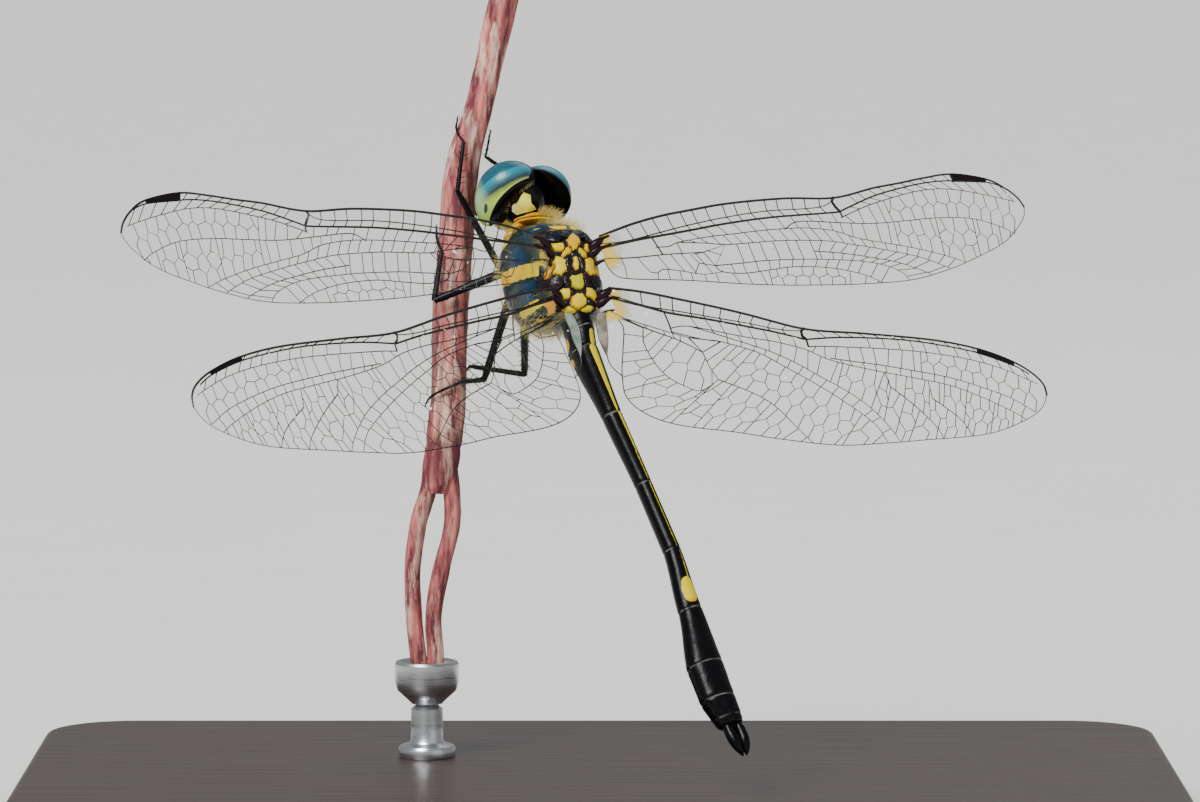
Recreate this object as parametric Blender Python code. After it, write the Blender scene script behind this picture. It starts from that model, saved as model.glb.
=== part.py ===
"""A life-size dragonfly that clings to a cut length of plant stem, on a plain stand.

Blender 4.5 Python, metres, +Z up. Sizes below are in millimetres and degrees.
The origin is the middle of the underside of the stand's base.

Frames that the pieces hang from:
  table    x to the right, y up along the stem, z out towards whoever faces the model
  thorax   x to the insect's right, y forwards, z to its back; at the middle of the fore wing roots
  head     the same directions for the head, about its middle
  abdomen  the same for the abdomen, whose segments run along -y
  wing     x out along the span, y back along the chord, z square to the plate
"""

from math import cos, radians, sin

import bmesh
import bpy
from mathutils import Matrix, Vector

MM = 0.001
GAP = 0.3                    # between neighbouring solids
LIMB_THICK = 0.5             # legs, feelers and wings are at least this thick

# Stand: a flat base, and one rod with a cup that holds the perch.
BASE_WIDTH, BASE_DEPTH, BASE_THICK = 64.0, 44.0, 4.0
BASE_CORNER, BASE_EDGE = 5.0, 0.5
ROD_RADIUS = 0.9
CUP_RADIUS, CUP_HEIGHT = 1.8, 2.2

# The table frame stands almost upright, leaning back.
TABLE_AT, TABLE_TILT = (0.0, 1.0, 24.5), 85.0

# Perch: the stem's centre line in the table frame, as (x, y), and its radius at each point.
STEM_DEPTH = -6.8
STEM = [(-5.2, 23.4), (-6.7, 16.9), (-7.7, 13.0), (-8.1, 8.5), (-8.4, 4.0), (-8.5, 0.0), (-9.0, -4.0)]
STEM_RADII = [0.9, 0.8, 1.0, 1.05, 1.08, 1.08, 1.0]
STRAND_RADIUS = 0.5
STRANDS = {
    "left": [(-9.6, -4.9), (-10.2, -7.0), (-10.5, -9.5), (-10.4, -12.0), (-10.2, -14.2)],
    "right": [(-8.3, -4.9), (-8.3, -7.0), (-8.9, -9.5), (-9.3, -12.0), (-9.2, -14.2)],
}

# Insect: position and attitude of each frame in the one that holds it, as turn, pitch, roll.
THORAX_AT, THORAX_TURNS = (-1.54, 8.64, 0.0), (10.9, -20.0, 27.0)
HEAD_AT, HEAD_TURNS = (-0.2, 4.5, -4.6), (-6.0, -35.0, 4.0)
ABDOMEN_AT, ABDOMEN_TURNS = (-1.8, 4.67, 0.4), (23.5, -20.0, 34.0)

# Thorax, in its frame: y, half width, half height and height of the middle, front to back.
THORAX = [
    (2.60, 0.95, 0.90, -4.25),
    (2.30, 1.60, 1.65, -4.05),
    (1.80, 2.05, 2.35, -3.80),
    (1.10, 2.30, 2.90, -3.55),
    (0.10, 2.40, 3.10, -3.40),
    (-1.50, 2.35, 3.05, -3.30),
    (-2.90, 2.10, 2.65, -2.90),
    (-3.65, 1.60, 1.90, -2.20),
    (-4.05, 0.95, 1.10, -1.50),
]
PROTHORAX = [
    (3.40, 0.45, 0.30, -3.65),
    (3.25, 1.00, 0.55, -3.70),
    (3.05, 1.30, 0.75, -3.80),
    (2.90, 1.10, 0.65, -3.85),
]

# Head, in its frame: the eyes are ellipsoids cut on the inside and behind.
EYE_MIDDLE, EYE_RADII = (0.90, 0.25, 0.35), (1.88, 1.50, 1.95)
EYE_DROP = 1.25                               # how much longer an eye is below its middle than above
EYE_BACK, EYE_SEAM = -0.35, 0.15
EYE_SLANT, EYE_SLANT_TOP = 33.5, 1.0          # the inner cut leans out from this height down
FACE_MIDDLE, FACE_RADII = (0.0, 0.55, -0.65), (1.50, 1.45, 1.55)
MOUTH_LINE = -1.15
NAPE_MIDDLE, NAPE_RADII = (0.0, -0.25, 0.15), (2.45, 0.95, 1.95)
ANTENNA_ROOT, ANTENNA_TIP = (0.38, 2.20, -0.25), (0.75, 3.10, 0.10)

# Abdomen: distance of each joint behind its frame, with half width, half height and shift in x.
ABDOMEN_JOINTS = [
    (0.45, 0.76, 0.95, 0.40),
    (1.10, 0.80, 1.00, 0.30),
    (2.30, 0.79, 0.95, 0.00),
    (6.40, 0.55, 0.60, 0.06),
    (10.75, 0.46, 0.52, 0.16),
    (14.90, 0.48, 0.53, 0.14),
    (18.50, 0.68, 0.61, -0.34),
    (21.80, 1.06, 0.85, -0.90),
    (23.85, 1.02, 0.80, -1.00),
    (25.00, 0.86, 0.67, -0.90),
    (25.70, 0.66, 0.52, -0.85),
]
TAIL_LENGTH = 1.4

# Wings: outline in the wing's own plane, as distance out from the root and distance back.
FORE_OUTLINE = [
    (-0.30, -0.35), (1.9, -1.0), (5.3, -1.6), (11.2, -1.95), (14.4, -1.8), (18.5, -2.4),
    (21.8, -2.7), (23.9, -2.25), (25.2, -1.4), (25.75, -0.3), (25.4, 0.5), (23.9, 1.8),
    (20.9, 3.0), (17.3, 3.8), (13.0, 3.8), (8.1, 3.35), (4.7, 2.7), (1.4, 2.3), (0.2, 1.9),
    (-0.30, 0.9),
]
HIND_OUTLINE = [
    (-0.25, -0.35), (1.7, -0.1), (4.0, 0.4), (7.2, 1.25), (10.7, 2.2), (14.2, 2.5),
    (17.9, 2.95), (20.6, 3.5), (22.5, 4.25), (23.7, 5.2), (24.1, 6.4), (23.6, 7.3),
    (22.2, 8.2), (19.4, 8.9), (14.8, 9.3), (11.5, 9.4), (8.2, 9.0), (4.0, 8.2), (1.6, 7.6),
    (0.4, 6.6), (0.15, 5.2), (0.4, 3.6), (0.45, 2.2), (-0.25, 1.0),
]
# name: outline, root in the thorax frame, and its raise, twist and sweep back on each side.
WINGS = {
    "fore": (FORE_OUTLINE, (1.82, 0.0, 0.0), {"right": (5.3, 4.5, -1.7), "left": (5.5, 2.5, 1.3)}),
    "hind": (HIND_OUTLINE, (1.73, -3.04, 0.0), {"right": (10.4, 5.5, 5.2), "left": (6.0, 4.8, 2.8)}),
}
OUTLINE_STEPS = 3

# Legs: the hip is in the thorax frame and the knee in the table frame. The ankle and the foot
# are on the stem, each at a height y and an angle round it: 0 right, 90 in front, 180 left.
LEGS = {
    ("fore", "left"): ((-0.6, 1.9, -8.0), (-7.95, 11.7, -5.05), (14.5, 105), (15.7, 180)),
    ("fore", "right"): ((0.6, 2.4, -7.2), (-4.4, 12.4, -10.0), (13.7, -25), (14.9, -5)),
    ("mid", "left"): ((-1.2, 1.1, -6.3), (-9.25, 5.6, -5.15), (8.4, 125), (9.6, 172)),
    ("mid", "right"): ((0.9, 0.8, -7.2), (-5.0, 10.2, -10.8), (10.6, -55), (11.5, -120)),
    ("hind", "left"): ((-1.2, -0.5, -6.4), (-6.5, 1.2, -7.2), (1.05, 60), (-0.1, 175)),
    ("hind", "right"): ((-0.1, -1.2, -7.2), (-4.25, 1.5, -9.4), (1.95, -30), (1.0, -80)),
}
FEMUR_RADII, TIBIA_RADII, TARSUS_RADII = (0.30, 0.27), (0.26, 0.25), (0.25, 0.25)
LEG_CLEARANCE = 0.50
JOINT_GAP = 0.42              # left off each end of a length of leg
WRAP_STEPS = 3                # straight lengths that a foot is made of, round the stem

COLOURS = {
    "shell_black": (0.012, 0.012, 0.016), "thorax_blue": (0.02, 0.06, 0.11),
    "eye_teal": (0.10, 0.30, 0.33), "face_yellow": (0.75, 0.62, 0.15),
    "wing_clear": (0.72, 0.74, 0.70), "bark_red": (0.42, 0.16, 0.15),
    "stand_wood": (0.05, 0.03, 0.02), "stand_steel": (0.55, 0.56, 0.58),
}


def turned(turns):
    """The attitude after a roll about y, then a pitch about x, then a turn about z."""
    turn, pitch, roll = (radians(angle) for angle in turns)
    return (
        Matrix.Rotation(turn, 4, "Z") @ Matrix.Rotation(pitch, 4, "X") @ Matrix.Rotation(roll, 4, "Y")
    )


def frame(name, at, turns, holder=None):
    """An empty that pieces hang from."""
    empty = bpy.data.objects.new(name, None)
    bpy.context.collection.objects.link(empty)
    empty.parent = holder
    empty.matrix_basis = Matrix.Translation(Vector(at) * MM) @ turned(turns)
    return empty


def material(name):
    """A plain material of one of the colours above."""
    found = bpy.data.materials.get(name)
    if found:
        return found
    made = bpy.data.materials.new(name)
    made.use_nodes = True
    shader = made.node_tree.nodes["Principled BSDF"]
    shader.inputs["Base Color"].default_value = (*COLOURS[name], 1.0)
    shader.inputs["Roughness"].default_value = 0.35 if name != "stand_wood" else 0.5
    shader.inputs["Metallic"].default_value = 1.0 if name == "stand_steel" else 0.0
    return made


def finish(name, mesh, holder, colour):
    """Turn a bmesh in millimetres into a named object of its own."""
    bmesh.ops.recalc_face_normals(mesh, faces=mesh.faces)
    bmesh.ops.scale(mesh, vec=(MM, MM, MM), verts=mesh.verts)
    data = bpy.data.meshes.new(name)
    mesh.to_mesh(data)
    mesh.free()
    data.shade_smooth()
    data.set_sharp_from_angle(angle=radians(40))
    data.materials.append(material(colour))
    piece = bpy.data.objects.new(name, data)
    bpy.context.collection.objects.link(piece)
    piece.parent = holder
    return piece


def ring(mesh, place, half_width, half_height, sides, squareness=1.0):
    """The edges of one closed ring about the z axis of a place; squareness over 1 fills its corners."""
    made = bmesh.ops.create_circle(mesh, segments=sides, radius=1.0, matrix=Matrix())
    for vert in made["verts"]:
        reach = (abs(vert.co.x) ** (2 * squareness) + abs(vert.co.y) ** (2 * squareness)) ** (
            0.5 / squareness
        )
        vert.co = place @ Vector((vert.co.x * half_width / reach, vert.co.y * half_height / reach, 0.0))
    return list({edge for vert in made["verts"] for edge in vert.link_edges})


def skin_rings(mesh, rings):
    """Join each ring to the next, and close both ends."""
    for first, second in zip(rings, rings[1:]):
        bmesh.ops.bridge_loops(mesh, edges=first + second)
    for end in (rings[0], rings[-1]):
        bmesh.ops.contextual_create(mesh, geom=end)


def across(direction, up):
    """A rotation whose z axis is a direction, and whose y axis is as near as can be to up."""
    z = Vector(direction).normalized()
    x = Vector(up).cross(z).normalized()
    return Matrix((x, z.cross(x), z)).transposed().to_4x4()


def body_of_rings(name, stations, holder, colour, sides=20, squareness=1.0):
    """A body along y, from rows of y, half width, half height, and z and x of the middle."""
    mesh = bmesh.new()
    facing = across((0, -1, 0), (0, 0, 1))
    rings = [
        ring(mesh, Matrix.Translation((x, y, z)) @ facing, wide, high, sides, squareness)
        for y, wide, high, z, x in stations
    ]
    skin_rings(mesh, rings)
    return finish(name, mesh, holder, colour)


def tube(name, points, radii, holder, colour, sides=10):
    """A round tube through points, with a radius at each of them."""
    mesh = bmesh.new()
    points = [Vector(point) for point in points]
    rings = []
    for index, (point, radius) in enumerate(zip(points, radii)):
        ahead = points[min(index + 1, len(points) - 1)] - points[max(index - 1, 0)]
        place = Matrix.Translation(point) @ across(ahead, (0.13, 0.21, 1.0))
        rings.append(ring(mesh, place, radius, radius, sides))
    skin_rings(mesh, rings)
    return finish(name, mesh, holder, colour)


def ellipsoid(middle, radii, segments=24, rows=14):
    """A bmesh ellipsoid."""
    mesh = bmesh.new()
    bmesh.ops.create_uvsphere(mesh, u_segments=segments, v_segments=rows, radius=1.0)
    bmesh.ops.scale(mesh, vec=radii, verts=mesh.verts)
    bmesh.ops.translate(mesh, vec=middle, verts=mesh.verts)
    return mesh


def cut(mesh, at, normal):
    """Take off what lies beyond a plane, on the side that its normal points to, and close it."""
    parts = list(mesh.verts) + list(mesh.edges) + list(mesh.faces)
    made = bmesh.ops.bisect_plane(
        mesh, geom=parts, dist=1e-5, plane_co=at, plane_no=normal, clear_outer=True
    )
    rim = [part for part in made["geom_cut"] if isinstance(part, bmesh.types.BMEdge)]
    bmesh.ops.contextual_create(mesh, geom=rim)


def slant(side):
    """The outward normal of the cut between an eye and the face: out to one side and up."""
    return Vector((side * cos(radians(EYE_SLANT)), 0.0, sin(radians(EYE_SLANT))))


def curve_through(points, steps):
    """Points on a closed smooth curve through the given ones."""
    count = len(points)
    smooth = []
    for index in range(count):
        before, start, end, after = (Vector(points[(index + k) % count]) for k in (-1, 0, 1, 2))
        for step in range(steps):
            t = step / steps
            smooth.append(
                0.5
                * (
                    2 * start
                    + (end - before) * t
                    + (2 * before - 5 * start + 4 * end - after) * t**2
                    + (3 * start - before - 3 * end + after) * t**3
                )
            )
    return smooth


def make_stand(table):
    """A rounded base plate on the floor, and a rod with a cup for the lower end of the perch."""
    mesh = bmesh.new()
    bmesh.ops.create_cube(mesh, size=1.0)
    bmesh.ops.scale(mesh, vec=(BASE_WIDTH, BASE_DEPTH, BASE_THICK), verts=mesh.verts)
    bmesh.ops.translate(mesh, vec=(0, 0, BASE_THICK / 2), verts=mesh.verts)
    upright = [edge for edge in mesh.edges if abs(edge.verts[0].co.z - edge.verts[1].co.z) > 1]
    bmesh.ops.bevel(mesh, geom=upright, offset=BASE_CORNER, segments=6, profile=0.5, affect="EDGES")
    rim = [edge for edge in mesh.edges if min(vert.co.z for vert in edge.verts) > BASE_THICK - 0.01]
    bmesh.ops.bevel(mesh, geom=rim, offset=BASE_EDGE, segments=2, profile=0.5, affect="EDGES")
    finish("stand_base", mesh, None, "stand_wood")

    left_end, right_end = STRANDS["left"][-1], STRANDS["right"][-1]
    foot_x = (left_end[0] + right_end[0]) / 2
    cup_top = world_of(table, (foot_x, left_end[1] - GAP, STEM_DEPTH))
    cup_bottom = cup_top.z - CUP_HEIGHT
    rod = [(cup_top.x, cup_top.y, BASE_THICK + GAP), (cup_top.x, cup_top.y, cup_bottom - GAP)]
    tube("stand_rod", rod, [ROD_RADIUS] * 2, None, "stand_steel", sides=20)
    cup = [(cup_top.x, cup_top.y, cup_bottom), tuple(cup_top)]
    tube("stand_cup", cup, [CUP_RADIUS] * 2, None, "stand_steel", sides=24)


def world_of(table, point):
    """A point of the table frame in the world, both in millimetres."""
    return (table.matrix_basis @ (Vector(point) * MM)) / MM


def make_perch(table):
    """The stem, and the two strands that it splits into lower down."""
    points = [(x, y, STEM_DEPTH) for x, y in STEM]
    tube("perch_stem", points, STEM_RADII, table, "bark_red", sides=14)
    for side, route in STRANDS.items():
        points = [(x, y, STEM_DEPTH) for x, y in route]
        tube(f"perch_strand_{side}", points, [STRAND_RADIUS] * len(points), table, "bark_red")


def beside_stem(height, around):
    """A point in the table frame that clears the stem, at a height y and an angle round it."""
    for (x0, y0), (x1, y1), r0, r1 in zip(STEM, STEM[1:], STEM_RADII, STEM_RADII[1:]):
        if y0 >= height >= y1:
            along = (y0 - height) / (y0 - y1)
            reach = r0 + (r1 - r0) * along + LEG_CLEARANCE
            angle = radians(around)
            x = x0 + (x1 - x0) * along + reach * cos(angle)
            return Vector((x, height, STEM_DEPTH + reach * sin(angle)))
    raise ValueError("the stem has no such height")


def limb(name, points, radii, table):
    """One length of a leg, a little short of the joints at its ends."""
    points = list(points)
    points[0] = points[0] + (points[1] - points[0]).normalized() * JOINT_GAP
    points[-1] = points[-1] + (points[-2] - points[-1]).normalized() * JOINT_GAP
    radii = [radii[0] + (radii[1] - radii[0]) * k / (len(points) - 1) for k in range(len(points))]
    tube(name, points, radii, table, "shell_black", sides=8)


def make_legs(table, thorax):
    """Six legs of three lengths each, from the underside of the thorax to the stem."""
    for (pair, side), (hip, knee, ankle, foot) in LEGS.items():
        hip = (thorax.matrix_basis @ (Vector(hip) * MM)) / MM
        knee = Vector(knee)
        wrap = [
            beside_stem(
                ankle[0] + (foot[0] - ankle[0]) * step / WRAP_STEPS,
                ankle[1] + (foot[1] - ankle[1]) * step / WRAP_STEPS,
            )
            for step in range(WRAP_STEPS + 1)
        ]
        limb(f"leg_{pair}_{side}_femur", (hip, knee), FEMUR_RADII, table)
        limb(f"leg_{pair}_{side}_tibia", (knee, wrap[0]), TIBIA_RADII, table)
        limb(f"leg_{pair}_{side}_tarsus", wrap, TARSUS_RADII, table)


def make_thorax(thorax):
    """The deep middle body, and the small collar that carries the head."""
    for name, rows, colour, squareness in (
        ("thorax", THORAX, "thorax_blue", 1.2),
        ("prothorax", PROTHORAX, "face_yellow", 1.0),
    ):
        stations = [(*row, 0.0) for row in rows]
        body_of_rings(name, stations, thorax, colour, sides=28, squareness=squareness)


def make_head(head):
    """Two eyes that meet on top, the face between them, the mouthparts, the nape and the feelers."""
    slant_at = (EYE_SEAM, 0.0, EYE_SLANT_TOP)
    for name, side in (("left", -1), ("right", 1)):
        at = (side * slant_at[0], slant_at[1], slant_at[2])
        middle = (side * EYE_MIDDLE[0], EYE_MIDDLE[1], EYE_MIDDLE[2])
        mesh = ellipsoid(middle, EYE_RADII, segments=28, rows=16)
        low = [vert for vert in mesh.verts if vert.co.z < middle[2] - 1e-4]
        bmesh.ops.scale(
            mesh, vec=(1.0, 1.0, EYE_DROP), space=Matrix.Translation((0.0, 0.0, -middle[2])), verts=low
        )
        cut(mesh, at, (-side, 0, 0))
        cut(mesh, at, -slant(side))
        cut(mesh, (0, EYE_BACK, 0), (0, -1, 0))
        finish(f"eye_{name}", mesh, head, "eye_teal")
        root = (side * ANTENNA_ROOT[0], *ANTENNA_ROOT[1:])
        tip = (side * ANTENNA_TIP[0], *ANTENNA_TIP[1:])
        tube(f"antenna_{name}", [root, tip], [LIMB_THICK / 2] * 2, head, "shell_black", sides=8)
    for name, floor, sign in (("face", MOUTH_LINE, -1), ("mouthparts", MOUTH_LINE - GAP, 1)):
        mesh = ellipsoid(FACE_MIDDLE, FACE_RADII)
        for side in (-1, 1):
            inside = Vector((side * slant_at[0], 0.0, slant_at[2])) - slant(side) * GAP
            cut(mesh, inside, slant(side))
        cut(mesh, (0, EYE_BACK, 0), (0, -1, 0))
        cut(mesh, (0, 0, floor), (0, 0, sign))
        finish(name, mesh, head, "face_yellow")
    mesh = ellipsoid(NAPE_MIDDLE, NAPE_RADII)
    cut(mesh, (0, EYE_BACK - GAP, 0), (0, 1, 0))
    finish("head_nape", mesh, head, "shell_black")


def abdomen_station(back):
    """A row for body_of_rings at a distance behind the abdomen's frame."""
    for first, second in zip(ABDOMEN_JOINTS, ABDOMEN_JOINTS[1:]):
        if first[0] <= back <= second[0]:
            along = (back - first[0]) / (second[0] - first[0])
            wide, high, x = (a + (b - a) * along for a, b in zip(first[1:], second[1:]))
            return -back, wide, high, 0.0, x
    raise ValueError("outside the abdomen")


def make_abdomen(abdomen):
    """Ten segments in a row, and the three tail pieces."""
    for number, (start, end) in enumerate(zip(ABDOMEN_JOINTS, ABDOMEN_JOINTS[1:]), 1):
        first, last = start[0] + GAP / 2, end[0] - GAP / 2
        stations = [abdomen_station(back) for back in (first, (first + last) / 2, last)]
        body_of_rings(f"abdomen_{number:02d}", stations, abdomen, "shell_black")
    back, *_, aside = ABDOMEN_JOINTS[-1]
    root, middle, tip = (-back - GAP - TAIL_LENGTH * part for part in (0.0, 0.5, 1.0))
    for name, side in (("left", -1), ("right", 1)):
        points = [
            (aside + side * 0.38, root, 0.12),
            (aside + side * 0.42, middle, 0.15),
            (aside + side * 0.28, tip, 0.08),
        ]
        tube(f"cercus_{name}", points, [0.26, 0.28, 0.14], abdomen, "shell_black")
    points = [(aside, root, -0.38), (aside, tip + 0.3, -0.35)]
    tube("epiproct", points, [0.27, 0.18], abdomen, "shell_black")


def wing_place(root, side, raised, twist, sweep):
    """A wing's frame in the thorax frame, from its root, its side (1 or -1) and three angles."""
    out = Vector((side * cos(radians(raised)), 0.0, sin(radians(raised))))
    normal = Vector((-side * sin(radians(raised)), 0.0, cos(radians(raised))))
    back = Vector((0, -1, 0)) * cos(radians(twist)) + normal * sin(radians(twist))
    span = out * cos(radians(sweep)) + back * sin(radians(sweep))
    chord = back * cos(radians(sweep)) - out * sin(radians(sweep))
    up = chord.cross(span) if side > 0 else span.cross(chord)
    place = Matrix((span, chord, up)).transposed().to_4x4()
    return Matrix.Translation(Vector((side * root[0], root[1], root[2]))) @ place


def make_wings(thorax):
    """Four thin plates with the wings' outlines."""
    for pair, (outline, root, sides) in WINGS.items():
        for side, (raised, twist, sweep) in sides.items():
            place = wing_place(root, 1 if side == "right" else -1, raised, twist, sweep)
            mesh = bmesh.new()
            flat = curve_through(outline, OUTLINE_STEPS)
            rim = [mesh.verts.new((point.x, point.y, -LIMB_THICK / 2)) for point in flat]
            face = mesh.faces.new(rim)
            made = bmesh.ops.extrude_face_region(mesh, geom=[face])
            lifted = [part for part in made["geom"] if isinstance(part, bmesh.types.BMVert)]
            bmesh.ops.translate(mesh, vec=(0, 0, LIMB_THICK), verts=lifted)
            bmesh.ops.transform(mesh, matrix=place, verts=mesh.verts)
            finish(f"wing_{pair}_{side}", mesh, thorax, "wing_clear")


def main():
    for old in list(bpy.data.objects):
        bpy.data.objects.remove(old, do_unlink=True)
    table = frame("table", TABLE_AT, (0.0, TABLE_TILT, 0.0))
    thorax = frame("thorax_frame", THORAX_AT, THORAX_TURNS, table)
    head = frame("head_frame", HEAD_AT, HEAD_TURNS, thorax)
    abdomen = frame("abdomen_frame", ABDOMEN_AT, ABDOMEN_TURNS, table)
    make_stand(table)
    make_perch(table)
    make_thorax(thorax)
    make_head(head)
    make_abdomen(abdomen)
    make_wings(thorax)
    make_legs(table, thorax)


main()
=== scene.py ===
"""A life-size dragonfly on a cut stem: the finish of every surface, with light, floor and camera.

Laid out as an add-on and run as a script. Sizes are in millimetres and degrees unless a name
says otherwise. The frames are those that the solids are built in:
  table    x to the right, y up along the stem, z out towards whoever faces the model
  thorax   x to the insect's right, y forwards, z to its back; at the middle of the fore wing roots
  head     the same directions for the head, about its middle
  abdomen  the same for the abdomen, whose segments run along -y
  wing     x out along the span, y back along the chord, z square to the wing
"""

import random
from math import atan2, ceil, cos, exp, hypot, pi, radians, sin

import bmesh
import bpy
from bpy.props import FloatProperty, FloatVectorProperty, IntProperty, PointerProperty
from mathutils import Matrix, Vector, noise


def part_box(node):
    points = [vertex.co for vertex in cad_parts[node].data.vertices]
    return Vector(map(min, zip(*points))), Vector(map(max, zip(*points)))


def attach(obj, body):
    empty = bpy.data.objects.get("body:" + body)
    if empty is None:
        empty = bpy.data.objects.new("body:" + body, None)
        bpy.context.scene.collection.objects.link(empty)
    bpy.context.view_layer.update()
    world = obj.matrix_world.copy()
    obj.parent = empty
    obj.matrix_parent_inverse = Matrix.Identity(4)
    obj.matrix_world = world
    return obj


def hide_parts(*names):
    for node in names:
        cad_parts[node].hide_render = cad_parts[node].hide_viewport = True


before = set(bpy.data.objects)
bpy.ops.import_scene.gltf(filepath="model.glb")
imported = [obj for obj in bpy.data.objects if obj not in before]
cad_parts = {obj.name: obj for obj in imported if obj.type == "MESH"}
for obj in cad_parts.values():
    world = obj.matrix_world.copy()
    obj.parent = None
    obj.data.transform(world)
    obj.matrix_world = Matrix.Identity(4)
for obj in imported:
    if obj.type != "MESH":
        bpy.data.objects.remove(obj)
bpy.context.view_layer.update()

bl_info = {
    "name": "Dragonfly on a stem",
    "version": (1, 0, 0),
    "blender": (4, 5, 0),
    "location": "3D View > Sidebar > Dragonfly",
    "description": "Builds the visible surfaces of a life-size dragonfly model",
    "category": "Object",
}

MM = 0.001
CAMERA_DISTANCE, CAMERA_LENS = 366.67, 200.0

# ---------------------------------------------------------------- frames and measures


def placed(at, turns, holder=None):
    """A frame at a place in its holder, after a roll about y, a pitch about x and a turn about z."""
    turn, pitch, roll = (radians(angle) for angle in turns)
    attitude = (
        Matrix.Rotation(turn, 4, "Z") @ Matrix.Rotation(pitch, 4, "X") @ Matrix.Rotation(roll, 4, "Y")
    )
    return (holder or Matrix()) @ Matrix.Translation(at) @ attitude


TABLE = placed((0.0, 1.0, 24.5), (0.0, 85.0, 0.0))
THORAX = placed((-1.54, 8.64, 0.0), (10.9, -20.0, 27.0), TABLE)
HEAD = placed((-0.2, 4.5, -4.6), (-6.0, -35.0, 4.0), THORAX)
ABDOMEN = placed((-1.8, 4.67, 0.4), (23.5, -20.0, 34.0), TABLE)

# Stand: rounding of the base's corners and edges, and the width of the rim inside them.
BASE_CORNER, BASE_EDGE, BASE_RIM = 5.0, 0.5, 0.9

# Thorax: y, half width, half height and height of the middle, front to back.
THORAX_ROWS = [
    (2.60, 0.95, 0.90, -4.25),
    (2.30, 1.60, 1.65, -4.05),
    (1.80, 2.05, 2.35, -3.80),
    (1.10, 2.30, 2.90, -3.55),
    (0.10, 2.40, 3.10, -3.40),
    (-1.50, 2.35, 3.05, -3.30),
    (-2.90, 2.10, 2.65, -2.90),
    (-3.65, 1.60, 1.90, -2.20),
    (-4.05, 0.95, 1.10, -1.50),
]
THORAX_SQUARE = 1.2
COLLAR_ROWS = [
    (3.40, 0.45, 0.30, -3.65),
    (3.25, 1.00, 0.55, -3.70),
    (3.05, 1.30, 0.75, -3.80),
    (2.90, 1.10, 0.65, -3.85),
]
COLLAR_LUMPS = [
    (1.02, 2.78, -4.35, (0.42, 0.34, 0.78)),
    (1.28, 2.52, -4.85, (0.34, 0.30, 0.72)),
]

# Abdomen: distance of each joint behind its frame, with half width, half height and shift in x.
ABDOMEN_JOINTS = [
    (0.45, 0.76, 0.95, 0.40),
    (1.10, 0.80, 1.00, 0.30),
    (2.30, 0.79, 0.95, 0.00),
    (6.40, 0.55, 0.60, 0.06),
    (10.75, 0.46, 0.52, 0.16),
    (14.90, 0.48, 0.53, 0.14),
    (18.50, 0.68, 0.61, -0.34),
    (21.80, 1.06, 0.85, -0.90),
    (23.85, 1.02, 0.80, -1.00),
    (25.00, 0.86, 0.67, -0.90),
    (25.70, 0.66, 0.52, -0.85),
]

EYE_MIDDLE, EYE_RADII = (0.90, 0.25, 0.35), (1.88, 1.50, 1.95)
EYE_DROP = 1.25  # how much longer an eye is below its middle than above

STEM_DEPTH = -6.8
STEM = [(-5.2, 23.4), (-6.7, 16.9), (-7.7, 13.0), (-8.1, 8.5), (-8.4, 4.0), (-8.5, 0.0), (-9.0, -4.0)]
STEM_RADII = [0.9, 0.8, 1.0, 1.05, 1.08, 1.08, 1.0]
STRANDS = {
    "left": [(-9.6, -4.9), (-10.2, -7.0), (-10.5, -9.5), (-10.4, -12.0), (-10.2, -14.2)],
    "right": [(-8.3, -4.9), (-8.3, -7.0), (-8.9, -9.5), (-9.3, -12.0), (-9.2, -14.2)],
}

# Legs: the hip is in the thorax frame and the knee in the table frame. The ankle and the foot
# are on the stem, each at a height y and an angle round it: 0 right, 90 in front, 180 left.
LEGS = {
    ("fore", "left"): ((-0.6, 1.9, -8.0), (-7.95, 11.7, -5.05), (14.5, 105), (15.7, 180)),
    ("fore", "right"): ((0.6, 2.4, -7.2), (-4.4, 12.4, -10.0), (13.7, -25), (14.9, -5)),
    ("mid", "left"): ((-1.2, 1.1, -6.3), (-9.25, 5.6, -5.15), (8.4, 125), (9.6, 172)),
    ("mid", "right"): ((0.9, 0.8, -7.2), (-5.0, 10.2, -10.8), (10.6, -55), (11.5, -120)),
    ("hind", "left"): ((-1.2, -0.5, -6.4), (-6.5, 1.2, -7.2), (1.05, 60), (-0.1, 175)),
    ("hind", "right"): ((-0.1, -1.2, -7.2), (-4.25, 1.5, -9.4), (1.95, -30), (1.0, -80)),
}
LEG_STOUTNESS = {"fore": 0.66, "mid": 0.84, "hind": 0.82}
# Radii from end to end, before the stoutness: upper length, lower length and foot.
FEMUR_RADII = (0.30, 0.32, 0.31, 0.30, 0.29, 0.27, 0.26, 0.27, 0.20)
TIBIA_RADII = (0.19, 0.20, 0.19, 0.18, 0.175, 0.17, 0.165, 0.17, 0.11)
FOOT_RADII = (0.10, 0.085, 0.105, 0.08, 0.10, 0.075, 0.07)
# The foot's middle line stands this far off the stem at the ankle, and sinks by so much to its end.
ANKLE_CLEAR, FOOT_SINK = 0.24, 0.12

# Wings: root in the thorax frame, and the raise, twist and sweep back of each side.
WINGS = {
    "fore": ((1.82, 0.0, 0.0), {"right": (5.3, 4.5, -1.7), "left": (5.5, 2.5, 1.3)}),
    "hind": ((1.73, -3.04, 0.0), {"right": (10.4, 5.5, 5.2), "left": (6.0, 4.8, 2.8)}),
}

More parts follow.
